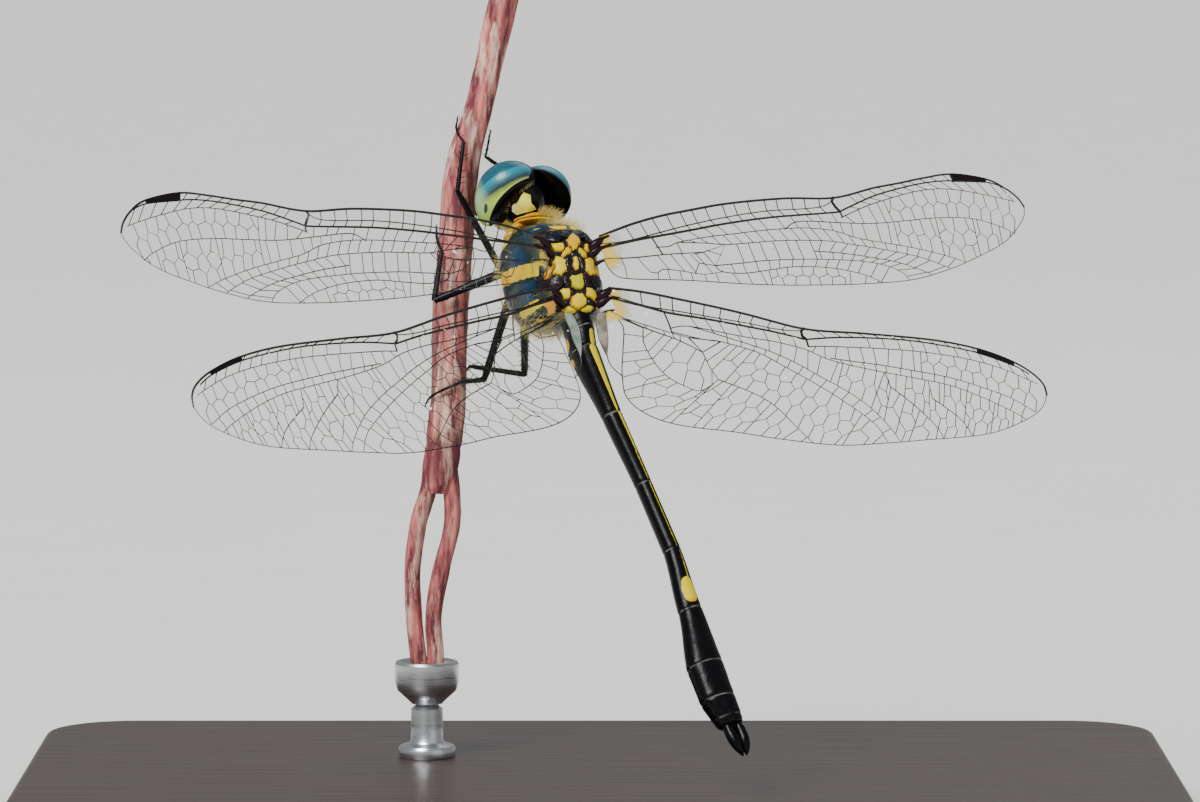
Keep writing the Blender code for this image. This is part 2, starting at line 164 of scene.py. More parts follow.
# Veins, each through a few points (out along the span, back along the chord), in maker's names.
FORE_VEINS = {
    "front": [(-0.1, -0.4), (1.9, -1.0), (3.8, -1.4), (5.3, -1.6), (7.8, -1.85), (11.4, -1.95),
              (14.4, -1.75), (16.9, -2.2), (18.5, -2.4), (20.1, -2.6), (21.8, -2.7),
              (23.9, -2.25), (24.9, -1.6), (25.5, -0.9), (25.75, -0.3)],
    "rear": [(-0.1, 1.1), (0.3, 2.0), (1.3, 2.3), (4.7, 2.7), (8.1, 3.2), (11.1, 3.5), (14.6, 3.7),
             (17.6, 3.7), (20.0, 3.25), (21.9, 2.65), (24.0, 1.75), (25.4, 0.5), (25.75, -0.3)],
    "second": [(-0.1, 0.0), (1.6, -0.1), (3.5, -0.42), (5.4, -0.78), (7.8, -1.1), (10.3, -1.3),
               (13.4, -1.3), (14.4, -1.72)],
    "main": [(-0.1, 0.25), (1.6, -0.02), (3.9, -0.25), (5.5, -0.43), (7.8, -0.68), (10.5, -0.85),
             (14.5, -0.88)],
    "main_out": [(14.5, -0.88), (15.3, -1.2), (17.0, -1.78), (19.0, -2.18), (20.6, -2.34),
                 (21.8, -2.3), (23.9, -2.05), (24.9, -1.6)],
    "branch": [(14.5, -0.5), (15.6, -0.9), (16.6, -1.22), (18.9, -1.75), (20.5, -1.88),
               (22.1, -1.68), (24.2, -1.1), (25.3, -0.7)],
    "fan_front": [(11.0, -0.05), (11.6, -0.42), (12.4, -0.45), (14.4, -0.2), (16.5, 0.0),
                  (18.4, 0.0), (20.4, -0.05), (22.4, 0.15), (24.0, 0.8), (24.7, 1.3)],
    "sector": [(3.1, 0.45), (3.9, 0.45), (4.5, 0.25), (6.2, 0.06), (8.1, -0.03), (9.8, -0.1),
               (12.1, -0.06), (13.8, 0.25), (15.1, 0.82), (16.8, 1.28), (18.5, 1.75), (20.3, 2.4),
               (21.2, 2.85)],
    "median": [(4.5, 0.25), (6.0, 0.42), (7.2, 0.63), (8.8, 0.63), (10.6, 0.65), (13.1, 0.85),
               (14.8, 1.22), (16.7, 1.72), (18.7, 2.35), (20.2, 3.15)],
    "between": [(12.4, 1.45), (14.2, 1.75), (15.8, 2.15), (17.2, 2.55), (18.6, 3.2), (19.0, 3.45)],
    "third": [(6.3, 1.88), (8.0, 1.84), (9.5, 1.8), (12.5, 1.98), (14.8, 2.26), (16.2, 2.62),
              (17.2, 3.15), (17.6, 3.68)],
    "fourth": [(6.3, 1.88), (6.6, 2.28), (7.8, 2.48), (9.4, 2.4), (11.0, 2.33), (13.1, 2.57),
               (14.8, 3.08), (16.0, 3.75)],
    "stem": [(-0.1, 0.95), (1.7, 0.98), (3.4, 0.95), (4.8, 0.98), (5.8, 1.0)],
    "rung_row": [(2.4, 1.95), (2.8, 2.05), (3.2, 1.85), (4.1, 2.02), (5.4, 2.35), (6.6, 2.3)],
}
HIND_VEINS = {
    "front": [(-0.1, -0.35), (1.7, -0.1), (4.0, 0.4), (7.2, 1.2), (10.7, 2.2), (14.2, 2.53),
              (17.9, 2.92), (20.55, 3.5), (22.5, 4.3), (23.5, 5.0), (24.0, 5.7), (24.1, 6.4)],
    "rear": [(0.3, 1.6), (0.5, 2.2), (0.3, 3.6), (0.1, 5.0), (0.2, 6.4), (1.2, 7.45), (2.9, 8.1),
             (6.1, 8.55), (8.5, 9.0), (11.7, 9.4), (14.4, 9.3), (16.6, 9.12), (20.2, 8.8),
             (22.3, 8.1), (23.6, 7.3), (24.1, 6.4)],
    "second": [(-0.1, 0.0), (0.8, 0.3), (2.1, 0.75), (3.8, 1.05), (5.8, 1.45), (7.4, 1.75),
               (9.1, 2.15), (10.3, 2.3), (10.7, 2.22)],
    "main": [(-0.1, 0.2), (1.6, 0.66), (3.1, 1.15), (5.1, 1.52), (7.0, 1.9), (9.1, 2.36),
             (10.7, 2.8)],
    "main_out": [(10.7, 2.8), (12.7, 2.72), (15.6, 2.85), (17.7, 3.1), (20.4, 3.68), (22.4, 4.45),
                 (23.3, 5.05)],
    "branch": [(10.8, 3.3), (12.1, 3.28), (15.5, 3.48), (17.6, 3.68), (20.1, 4.16), (22.0, 4.8),
               (23.7, 5.7)],
    "fan_front": [(12.0, 4.0), (14.2, 4.36), (16.4, 4.76), (18.6, 5.25), (20.4, 5.85),
                  (22.0, 6.55), (23.3, 7.45)],
    "sector": [(3.2, 2.1), (4.0, 1.98), (5.3, 2.22), (7.4, 2.7), (9.0, 3.0), (10.6, 3.45),
               (12.0, 4.1), (14.2, 4.75), (16.3, 5.2), (18.6, 5.75), (20.4, 6.5), (22.0, 7.4),
               (22.7, 7.9)],
    "median": [(4.3, 2.02), (5.9, 2.55), (8.3, 3.45), (9.9, 4.25), (11.0, 4.95), (12.6, 6.0),
               (13.9, 7.1), (14.9, 8.4), (15.3, 9.2)],
    "between": [(3.2, 2.35), (4.8, 2.8), (5.9, 2.96), (7.8, 3.62), (9.3, 4.52), (10.9, 5.55),
                (12.5, 6.75), (14.0, 8.1), (14.6, 9.25)],
    "third": [(5.5, 5.3), (7.2, 6.1), (8.5, 7.0), (9.8, 8.6), (10.4, 9.3)],
    "loop": [(1.6, 2.1), (1.6, 3.3), (2.5, 5.0), (3.9, 5.88), (4.6, 5.93), (5.5, 5.3)],
    "loop_front": [(4.8, 3.6), (5.1, 4.55), (5.5, 5.3)],
    "stem": [(-0.2, 1.0), (1.6, 2.05), (3.5, 2.87), (4.8, 3.6)],
    "above": [(0.7, 1.5), (2.7, 2.25), (4.1, 2.72), (4.8, 2.8)],
    "fan_a": [(15.2, 5.8), (16.4, 6.95), (17.5, 8.3), (17.8, 9.0)],
    "fan_b": [(17.5, 6.55), (18.9, 7.8), (19.5, 8.9)],
}
# Radius of each stouter vein at its root, and of the rest.
THICK_VEINS = {"front": 0.085, "main": 0.085, "main_out": 0.058, "second": 0.046, "stem": 0.046}
LONG_VEIN = 0.034
# The small lobe at a hind wing's root: its outer and inner edges, and the outer edge of the fillet
# that joins it to the wing.
ROOT_LOBE = (
    [(-0.38, 1.15), (-0.88, 1.25), (-1.00, 2.0), (-0.92, 2.9), (-0.62, 3.85)],
    [(-0.35, 1.15), (-0.42, 2.0), (-0.46, 2.9), (-0.60, 3.82)],
    [(0.35, 1.30), (-0.05, 1.10), (-0.34, 1.15), (-0.42, 2.0), (-0.46, 2.9), (-0.60, 3.82),
     (-0.42, 4.5), (0.12, 5.1)],
)
LOBE_THICKNESS, SPOT_THICKNESS = 0.03, 0.18
STAIN_STRENGTH = {"left": 0.16, "right": 1.0}
# The dark spot near each tip, from and to along the span.
SPOT_AT = {"fore": (21.8, 23.9), "hind": (20.55, 22.5)}

# ---------------------------------------------------------------- settings


def linear(level):
    """A channel of 0 to 255 as light."""
    level /= 255
    return level / 12.92 if level <= 0.04045 else ((level + 0.055) / 1.055) ** 2.4


def colour(name, description, *levels):
    """A colour that a user may change, from its red, green and blue of 0 to 255."""
    return FloatVectorProperty(
        name=name, description=description, subtype="COLOR", size=3, min=0.0, max=1.0,
        default=tuple(linear(level) for level in levels),
    )


class DragonflyColours(bpy.types.PropertyGroup):
    """The colours that make the species."""

    shell: colour("Shell", "Glossy black of the abdomen, legs and nape", 5, 5, 8)
    blue: colour("Thorax blue", "Metallic blue of the thorax", 4, 44, 84)
    blue_dark: colour("Thorax shade", "Darkest tone of the thorax", 4, 12, 24)
    yellow: colour("Yellow", "Bright marks of the thorax and abdomen", 212, 190, 0)
    orange: colour("Orange", "Deeper marks beside the wing roots", 212, 136, 0)
    olive: colour("Olive", "Pale olive of the middle back plate", 186, 178, 8)
    hinge: colour("Hinge", "Purple-brown of the wing hinges", 30, 13, 21)
    eye_top: colour("Eye top", "Teal of the upper eye", 30, 118, 134)
    eye_smear: colour("Eye smear", "Slate band across the eye", 34, 50, 62)
    eye_low: colour("Eye rim", "Yellow-green of the lower eye", 176, 204, 20)
    # Painted rim highlight: the pale that the lower eye turns to on its outer side.
    eye_rim_highlight: colour("Eye edge", "Palest green of the eye's outer side", 170, 215, 170)
    nape: colour("Nape yellow", "Yellow triangle behind the eyes", 254, 248, 112)
    face: colour("Face", "Yellow of the face and mouthparts", 222, 200, 70)
    vein: colour("Vein", "Wing veins", 12, 9, 9)
    amber: colour("Amber", "Stain at the wing roots", 226, 190, 0)
    membrane: colour("Membrane", "Wing membrane", 120, 128, 112)
    hair: colour("Hair", "Pale hair of the thorax", 236, 208, 124)
    bark: colour("Bark", "Rose-brown of the stem", 204, 116, 108)
    bark_pale: colour("Bark flakes", "Cream flakes of the stem", 226, 186, 166)
    # Also painted as shade in the hollows of the bark.
    bark_dark: colour("Bark grooves", "Purple-brown of the stem's grooves", 96, 42, 50)
    wood: colour("Base wood", "Dark stained wood of the stand", 58, 38, 26)
    floor: colour("Floor", "Floor and backdrop", 236, 238, 232)


class DragonflySizes(bpy.types.PropertyGroup):
    """The sizes that a user may change."""

    vein: FloatProperty(
        name="Cross vein", description="Radius of the finest veins, in millimetres",
        default=0.026, min=0.005, max=0.06,
    )
    membrane: FloatProperty(
        name="Membrane", description="Thickness of the wing membrane, in millimetres",
        default=0.03, min=0.01, max=0.1,
    )
    hair_length: FloatProperty(
        name="Hair length", description="Length of the thorax hair, in millimetres",
        default=0.56, min=0.1, max=1.5,
    )
    hair_count: IntProperty(
        name="Hairs", description="Number of hairs on the thorax", default=2100, min=0, max=9000,
    )
    sun_power: FloatProperty(
        name="Sun", description="Strength of the broad light over the whole stage", default=3.8, min=0.0,
    )
    key_power: FloatProperty(
        name="Key light", description="Power of the main lamp, in watts", default=0.55, min=0.0,
    )
    fill_power: FloatProperty(
        name="Fill light", description="Power of the filling lamp, in watts", default=0.18, min=0.0,
    )


# ---------------------------------------------------------------- shapes


def catmull(a, b, c, d, t):
    """A value between b and c on a smooth curve."""
    return 0.5 * (2 * b + (c - a) * t + (2 * a - 5 * b + 4 * c - d) * t**2 + (3 * b - a - 3 * c + d) * t**3)


def clamp(value):
    """A value kept from 0 to 1."""
    return min(max(value, 0.0), 1.0)


def bell(value, width):
    """1 at 0, and falling off over a width to both sides."""
    return exp(-((value / width) ** 2))


def along_rows(rows, along):
    """The row part way (0 to 1) along a list of rows, on a smooth curve through them."""
    reach = min(max(along, 0.0), 0.999999) * (len(rows) - 1)
    index = int(reach)
    four = [rows[min(max(index + k, 0), len(rows) - 1)] for k in (-1, 0, 1, 2)]
    return [catmull(*values, reach - index) for values in zip(*four)]


def curved(points, step):
    """Points every step or so along a smooth curve through the given ones."""
    length = sum((Vector(a) - Vector(b)).length for a, b in zip(points, points[1:]))
    count = max(2, ceil(length / step))
    dense = [Vector(along_rows(points, k / (count * 4))) for k in range(count * 4 + 1)]
    return even(dense, count)


def even(dense, count):
    """Count + 1 points evenly spaced along a dense line of points."""
    reach = [0.0]
    for a, b in zip(dense, dense[1:]):
        reach.append(reach[-1] + (b - a).length)
    points, index = [], 0
    for k in range(count + 1):
        want = reach[-1] * k / count
        while index < len(dense) - 2 and reach[index + 1] < want:
            index += 1
        span = reach[index + 1] - reach[index] or 1.0
        points.append(dense[index].lerp(dense[index + 1], min(1.0, (want - reach[index]) / span)))
    return points


def stretch(line, first, last):
    """The part of a line of points between two values of x."""
    inside = [point for point in line if first <= point.x <= last]
    ends = [min(line, key=lambda point: abs(point.x - value)) for value in (first, last)]
    return [ends[0], *inside, ends[1]] if inside else ends


def at_share(line, share):
    """The point at a share (0 to 1) of a line of evenly spaced points."""
    reach = clamp(share) * (len(line) - 1)
    index = min(int(reach), len(line) - 2)
    return line[index].lerp(line[index + 1], reach - index)


def tapered(rows, step):
    """A smooth line of (point, radius) through rows of x, y, z and radius."""
    return [(tuple(row)[:3], row[3]) for row in curved(rows, step)]


def patch(columns, rows, shape):
    """A sheet whose points are where shape(share, depth) puts them, both from 0 to 1."""
    mesh = bmesh.new()
    bmesh.ops.create_grid(mesh, x_segments=columns, y_segments=rows, size=1.0)
    for vert in mesh.verts:
        vert.co = shape((vert.co.x + 1) / 2, (vert.co.y + 1) / 2)
    return mesh


def weld(mesh, apart=1e-4):
    """Join the points of a bmesh that lie together."""
    bmesh.ops.remove_doubles(mesh, verts=mesh.verts, dist=apart)


def close(mesh):
    """Fill the open ends of a bmesh."""
    bmesh.ops.holes_fill(mesh, edges=[edge for edge in mesh.edges if edge.is_boundary], sides=0)


def sleeve(sides, rows, shape):
    """A skin round a body: shape(around, along) gives each point, around in radians, along 0 to 1."""
    mesh = patch(sides, rows, lambda share, along: shape(2 * pi * share, along))
    weld(mesh)
    close(mesh)
    return mesh


def on_ring(angle, wide, high, square=1.0):
    """A point on a ring's edge, across and up, at an angle from the right hand side."""
    c, s = cos(angle), sin(angle)
    reach = (abs(c) ** (2 * square) + abs(s) ** (2 * square)) ** (0.5 / square)
    return c * wide / reach, s * high / reach


def across(direction, up):
    """A rotation whose z axis is a direction, and whose y axis is as near as can be to up."""
    z = Vector(direction).normalized()
    x = Vector(up).cross(z).normalized()
    return Matrix((x, z.cross(x), z)).transposed().to_4x4()


def hose(points, radii, sides, shape=None):
    """A tube through points with a radius at each; shape(angle, share) changes the radius."""
    facings = []
    for index in range(len(points)):
        ahead = points[min(index + 1, len(points) - 1)] - points[max(index - 1, 0)]
        facings.append(across(ahead, (0.13, 0.21, 1.0)).to_3x3())

    def point_on(around, along):
        reach = along * (len(points) - 1)
        index = min(int(reach), len(points) - 2)
        part = reach - index
        radius = radii[index] + (radii[index + 1] - radii[index]) * part
        middle = points[index].lerp(points[index + 1], part)
        wide = radius * (shape(around, along) if shape else 1.0)
        facing = facings[index if part < 0.5 else index + 1]
        return middle + facing @ Vector((cos(around) * wide, sin(around) * wide, 0.0))

    return sleeve(sides, len(points) - 1, point_on)


def put(name, data):
    """A new object in the scene."""
    made = bpy.data.objects.new(name, data)
    bpy.context.scene.collection.objects.link(made)
    return made


def pipes(lines, resolution=0):
    """One bmesh of round pipes; each line is a list of (point, radius)."""
    data = bpy.data.curves.new("lines", "CURVE")
    data.dimensions = "3D"
    data.bevel_depth = 1.0
    data.bevel_resolution = resolution
    data.use_fill_caps = True
    for line in lines:
        spline = data.splines.new("POLY")
        spline.points.add(len(line) - 1)
        for knot, (point, radius) in zip(spline.points, line):
            knot.co = (*point, 1.0)
            knot.radius = radius
    holder = put("lines", data)
    graph = bpy.context.evaluated_depsgraph_get()
    made = bpy.data.meshes.new_from_object(holder.evaluated_get(graph))
    mesh = bmesh.new()
    mesh.from_mesh(made)
    bpy.data.objects.remove(holder)
    bpy.data.curves.remove(data)
    bpy.data.meshes.remove(made)
    weld(mesh, 1e-5)
    return mesh


def pillow(mesh, radii, middle, segments, rows, turn=None):
    """Add a rounded lump to a bmesh."""
    made = bmesh.ops.create_uvsphere(mesh, u_segments=segments, v_segments=rows, radius=1.0)
    bmesh.ops.scale(mesh, vec=radii, verts=made["verts"])
    place = Matrix.Translation(middle) @ (turn or Matrix())
    bmesh.ops.transform(mesh, matrix=place, verts=made["verts"])


def everything(mesh):
    """All points, edges and faces of a bmesh."""
    return [*mesh.verts, *mesh.edges, *mesh.faces]


def merge(whole, part):
    """Add a bmesh to another one, and free it."""
    data = bpy.data.meshes.new("part")
    part.to_mesh(data)
    part.free()
    whole.from_mesh(data)
    bpy.data.meshes.remove(data)


def cut(mesh, at, normal):
    """Take off what lies beyond a plane, on the side that its normal points to, and close it."""
    made = bmesh.ops.bisect_plane(
        mesh, geom=everything(mesh), dist=1e-5, plane_co=at, plane_no=normal, clear_outer=True
    )
    rim = [part for part in made["geom_cut"] if isinstance(part, bmesh.types.BMEdge)]
    bmesh.ops.contextual_create(mesh, geom=rim)


def keep(name, mesh, place, nodes, finishes, fields=None, sharp=40):
    """Turn a bmesh in millimetres, in a frame, into a piece of the model."""
    for label, value in (fields or {}).items():
        layer = mesh.verts.layers.float.new(label)
        for vert in mesh.verts:
            vert[layer] = value(vert.co)
    bmesh.ops.transform(mesh, matrix=Matrix.Scale(MM, 4) @ place, verts=mesh.verts)
    bmesh.ops.recalc_face_normals(mesh, faces=mesh.faces)
    data = bpy.data.meshes.new(name)
    mesh.to_mesh(data)
    mesh.free()
    data.shade_smooth()
    data.set_sharp_from_angle(angle=radians(sharp))
    for skin in finishes:
        data.materials.append(skin)
    piece = put(name, data)
    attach(piece, "root")
    if nodes:
        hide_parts(*nodes)
    return piece


# ---------------------------------------------------------------- finishes


def toned(tint, share):
    """A colour made darker, or lighter where share is over 1."""
    return tuple(level * share for level in tint)


def shader_of(made):
    """The material's shader."""
    return made.node_tree.nodes["Principled BSDF"]


def base_tone(made):
    """The socket that drives the material's base colour so far."""
    return shader_of(made).inputs["Base Color"].links[0].from_socket


def finish(name, **sockets):
    """A new Principled material; an underscore in a socket's name stands for a space."""
    made = bpy.data.materials.new(name)
    made.use_nodes = True
    shader = shader_of(made)
    for socket, value in sockets.items():
        if socket == "Base_Color":
            value = (*value, 1.0)
        shader.inputs[socket.replace("_", " ")].default_value = value
    return made


def add(made, kind, settings=None, **inputs):
    """A new node, with its settings, and its inputs as values or as sockets to link."""
    node = made.node_tree.nodes.new(kind)
    for setting, value in (settings or {}).items():
        setattr(node, setting, value)
    for socket, value in inputs.items():
        target = node.inputs[socket.replace("_", " ")]
        if isinstance(value, bpy.types.NodeSocket):
            made.node_tree.links.new(value, target)
        else:
            target.default_value = value
    return node


def drive(made, socket, source):
    """Link a socket to an input of the material's shader."""
    made.node_tree.links.new(source, shader_of(made).inputs[socket])


def object_place(made, scale=(1.0, 1.0, 1.0)):
    """Object coordinates, stretched."""
    place = add(made, "ShaderNodeTexCoord").outputs["Object"]
    return add(made, "ShaderNodeMapping", Vector=place, Scale=scale).outputs[0]


def speckle(made, per_mm, detail=3.0, roughness=0.55, place=None):
    """A noise of so many waves to the millimetre."""
    place = place or object_place(made)
    return add(
        made, "ShaderNodeTexNoise", Vector=place, Scale=per_mm / MM, Detail=detail, Roughness=roughness
    ).outputs["Fac"]


def field(made, name):
    """A value that the piece carries at each point."""
    return add(made, "ShaderNodeAttribute", {"attribute_name": name}).outputs["Fac"]


def ranged(made, value, low, high, to_low=0.0, to_high=1.0):
    """A value moved from one range to another, and kept inside it."""
    return add(
        made, "ShaderNodeMapRange",
        Value=value, From_Min=low, From_Max=high, To_Min=to_low, To_Max=to_high,
    ).outputs[0]


def mixed(made, share, first, second):
    """Two colours mixed."""
    first, second = (
        value if isinstance(value, bpy.types.NodeSocket) else (*value, 1.0) for value in (first, second)
    )
    return add(made, "ShaderNodeMixRGB", Fac=share, Color1=first, Color2=second).outputs[0]


def maths(made, operation, first, second):
    """Two values put together."""
    node = add(made, "ShaderNodeMath", {"operation": operation})
    for target, value in zip(node.inputs, (first, second)):
        if isinstance(value, bpy.types.NodeSocket):
            made.node_tree.links.new(value, target)
        else:
            target.default_value = value
    return node.outputs[0]


def colour_by(made, share, first, second):
    """Colour a material with two colours mixed."""
    drive(made, "Base Color", mixed(made, share, first, second))


def product(made, first, second):
    """One value times another."""
    return maths(made, "MULTIPLY", first, second)


def total(made, first, second):
    """One value and another."""
    return maths(made, "ADD", first, second)


def bump(made, height, distance, strength=0.6):
    """Raise the surface by a height, of so many millimetres."""
    node = add(made, "ShaderNodeBump", Height=height, Distance=distance * MM, Strength=strength)
    drive(made, "Normal", node.outputs[0])


def shell_finish(name, tint, roughness=0.24, grain=9.0, depth=0.012):
    """Polished horny shell with fine pits and a little dust."""
    made = finish(
        name, Base_Color=tint, Roughness=roughness, Specular_IOR_Level=0.11, Coat_Weight=0.04,
        Coat_Roughness=0.1,
    )
    fine = speckle(made, grain, 4.0)
    dust = ranged(made, speckle(made, 2.2, 5.0, 0.7), 0.70, 0.84, 0.0, 0.18)
    pale = tuple(0.18 + 0.5 * level for level in tint)
    colour_by(made, dust, tint, pale)
    drive(made, "Roughness", ranged(made, fine, 0.3, 0.75, roughness - 0.08, roughness + 0.16))
    bump(made, fine, depth)
    return made


def mark_finish(name, tint, warm, roughness=0.36):
    """Enamel-like yellow shell, warmer in places, with painted shade in its dips."""
    made = finish(
        name, Base_Color=tint, Roughness=roughness, Specular_IOR_Level=0.35, Subsurface_Weight=0.05,
        Subsurface_Scale=0.15 * MM, Coat_Weight=0.1, Coat_Roughness=0.2,
    )
    broad = ranged(made, speckle(made, 0.9, 3.0), 0.38, 0.66)
    fine = speckle(made, 7.0, 4.0)
    tone = mixed(made, broad, tint, warm)
    # Painted shade: where the fine bumps dip, the colour darkens towards a deep warm tone.
    shade = ranged(made, fine, 0.2, 0.5, 0.55, 0.0)
    colour_by(made, shade, tone, toned(warm, 0.45))
    bump(made, fine, 0.014)
    return made


# ---------------------------------------------------------------- stage and stand


class DRAGONFLY_OT_stage(bpy.types.Operator):
    """A flat floor, soft lamps, a pale world light and the camera"""

    bl_idname = "dragonfly.stage"
    bl_label = "Stage"

    def execute(self, context):
        look = context.scene.dragonfly_colours
        sizes = context.scene.dragonfly_sizes
        mesh = bmesh.new()
        bmesh.ops.create_grid(mesh, x_segments=8, y_segments=8, size=4.0)
        data = bpy.data.meshes.new("floor")
        mesh.to_mesh(data)
        mesh.free()
        ground = finish("floor_paper", Base_Color=look.floor, Roughness=0.7, Specular_IOR_Level=0.2)
        grain = speckle(ground, 0.08, 2.0)
        pale = tuple(min(1.0, level * 1.05) for level in look.floor)
        colour_by(ground, grain, tuple(look.floor), pale)
        data.materials.append(ground)
        put("floor", data)

        sun = bpy.data.lights.new("sun", "SUN")
        sun.energy = sizes.sun_power
        sun.angle = radians(28)
        holder = put("sun", sun)
        holder.rotation_euler = Vector((0.35, 0.62, -0.75)).to_track_quat("-Z", "Y").to_euler()

        centre = (TABLE @ Vector((0.0, 2.0, 0.0))) * MM
        lamps = (
            ("key", (-0.20, -0.30, 0.30), 0.16, sizes.key_power),
            ("fill", (0.30, -0.30, 0.12), 0.30, sizes.fill_power),
            ("rim", (0.10, 0.25, 0.30), 0.20, sizes.fill_power),
        )
        for name, offset, size, power in lamps:
            lamp = bpy.data.lights.new(name, "AREA")
            lamp.size = size
            lamp.energy = power
            holder = put(name, lamp)
            holder.location = centre + Vector(offset)
            holder.rotation_euler = (-Vector(offset)).to_track_quat("-Z", "Y").to_euler()

        world = bpy.data.worlds.new("studio")
        world.use_nodes = True
        backdrop = world.node_tree.nodes["Background"]
        backdrop.inputs["Color"].default_value = (0.86, 0.90, 0.92, 1.0)
        backdrop.inputs["Strength"].default_value = 0.40
        context.scene.world = world

        camera = bpy.data.cameras.new("camera")
        camera.lens = CAMERA_LENS
        camera.sensor_width = 36.0
        camera.clip_start = 0.02
        camera.clip_end = 20.0
        eye = put("camera", camera)
        eye.matrix_world = TABLE.copy()
        eye.location = (TABLE @ Vector((0.0, 0.0, CAMERA_DISTANCE))) * MM
        context.scene.camera = eye
        return {"FINISHED"}


class DRAGONFLY_OT_stand(bpy.types.Operator):
    """Wooden base, steel rod and the cup that holds the stem"""

    bl_idname = "dragonfly.stand"
    bl_label = "Stand"

    def execute(self, context):
        look = context.scene.dragonfly_colours
        tint = tuple(look.wood)
        wood = finish("stained_wood", Base_Color=tint, Roughness=0.42, Coat_Weight=0.25, Coat_Roughness=0.25)
        place = object_place(wood, (0.12, 1.0, 1.0))
        rings = add(
            wood, "ShaderNodeTexWave", {"wave_type": "BANDS", "bands_direction": "Y"},
            Vector=place, Scale=260.0, Distortion=5.0, Detail=3.0, Detail_Scale=1.5,
        ).outputs["Fac"]
        fibres = speckle(wood, 3.0, 5.0, 0.7, object_place(wood, (0.04, 1.0, 1.0)))
        grain = mixed(wood, ranged(wood, rings, 0.2, 0.9), toned(tint, 0.5), tint)
        pores = ranged(wood, fibres, 0.35, 0.5, 0.6, 0.0)
        colour_by(wood, pores, grain, toned(tint, 0.25))
        drive(wood, "Roughness", ranged(wood, fibres, 0.3, 0.8, 0.34, 0.58))
        bump(wood, fibres, 0.02)

        low, high = (Vector(corner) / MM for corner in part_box("stand_base"))
        mesh = bmesh.new()
        bmesh.ops.create_cube(mesh, size=1.0)
        bmesh.ops.scale(mesh, vec=high - low, verts=mesh.verts)
        bmesh.ops.translate(mesh, vec=(low + high) / 2, verts=mesh.verts)
        upright = [edge for edge in mesh.edges if abs(edge.verts[0].co.z - edge.verts[1].co.z) > 1]
        bmesh.ops.bevel(
            mesh, geom=upright, offset=BASE_CORNER, segments=12, profile=0.5, affect="EDGES", material=-1
        )
        top = [face for face in mesh.faces if face.normal.z > 0.9]
        bmesh.ops.inset_region(mesh, faces=top, thickness=BASE_RIM, depth=0.0)
        rim = [
            edge for edge in mesh.edges
            if min(vert.co.z for vert in edge.verts) > high.z - 0.01
            and len({face.normal.z > 0.9 for face in edge.link_faces}) == 2
        ]
        bmesh.ops.bevel(
            mesh, geom=rim, offset=BASE_EDGE, segments=4, profile=0.5, affect="EDGES", material=-1
        )
        keep("base_board", mesh, Matrix(), ["stand_base"], [wood], sharp=30)

        steel = finish("brushed_steel", Base_Color=(0.56, 0.57, 0.59), Metallic=1.0, Roughness=0.28)
        lathe = speckle(steel, 3.0, 3.0, 0.6, object_place(steel, (0.15, 0.15, 5.0)))
        drive(steel, "Roughness", ranged(steel, lathe, 0.3, 0.7, 0.2, 0.42))
        bump(steel, lathe, 0.006)
        for name, node, at_foot, profile in (
            ("rod_turned", "stand_rod", 7, [
                (0.0, -0.3), (1.55, -0.3), (1.6, -0.2), (1.6, 0.2), (1.5, 0.35), (1.0, 0.5), (0.9, 0.65),
                (0.9, -1.2), (0.9, -0.25), (0.6, 0.0), (0.0, 0.0)]),
            ("cup_turned", "stand_cup", 5, [
                (0.0, -0.3), (0.85, -0.25), (1.1, 0.0), (1.65, 0.5), (1.8, 1.0), (1.8, -0.2), (1.7, -0.06),
                (1.5, -0.02), (1.42, -0.15), (1.4, -1.3), (0.0, -1.35)]),
        ):
            low, high = (Vector(corner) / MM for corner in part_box(node))
            mesh = bmesh.new()
            rail = [
                mesh.verts.new((reach, 0.0, (low.z if index < at_foot else high.z) + lift))
                for index, (reach, lift) in enumerate(profile)
            ]
            wire = [mesh.edges.new(pair) for pair in zip(rail, rail[1:])]
            bmesh.ops.spin(
                mesh, geom=rail + wire, cent=(0, 0, 0), axis=(0, 0, 1), angle=2 * pi, steps=48,
                use_merge=True,
            )
            weld(mesh)
            middle = (low + high) / 2
            place = Matrix.Translation((middle.x, middle.y, 0.0))
            keep(name, mesh, place, [node], [steel], sharp=35)
        return {"FINISHED"}


# ---------------------------------------------------------------- perch


def bark_radius(seed):
    """How far the bark stands out of a plain tube, as a function of angle and height."""
    def relief(angle, height):
        fibres = noise.noise(Vector((cos(angle) * 2.6, sin(angle) * 2.6, height * 0.16 + seed)))
        lumps = noise.noise(Vector((cos(angle) * 0.9, sin(angle) * 0.9, height * 0.45 + seed)))
        flakes = noise.noise(Vector((cos(angle) * 5.0, sin(angle) * 5.0, height * 0.9 + seed)))
        return 0.10 * fibres + 0.07 * lumps + 0.05 * max(flakes, 0.0)
    return relief


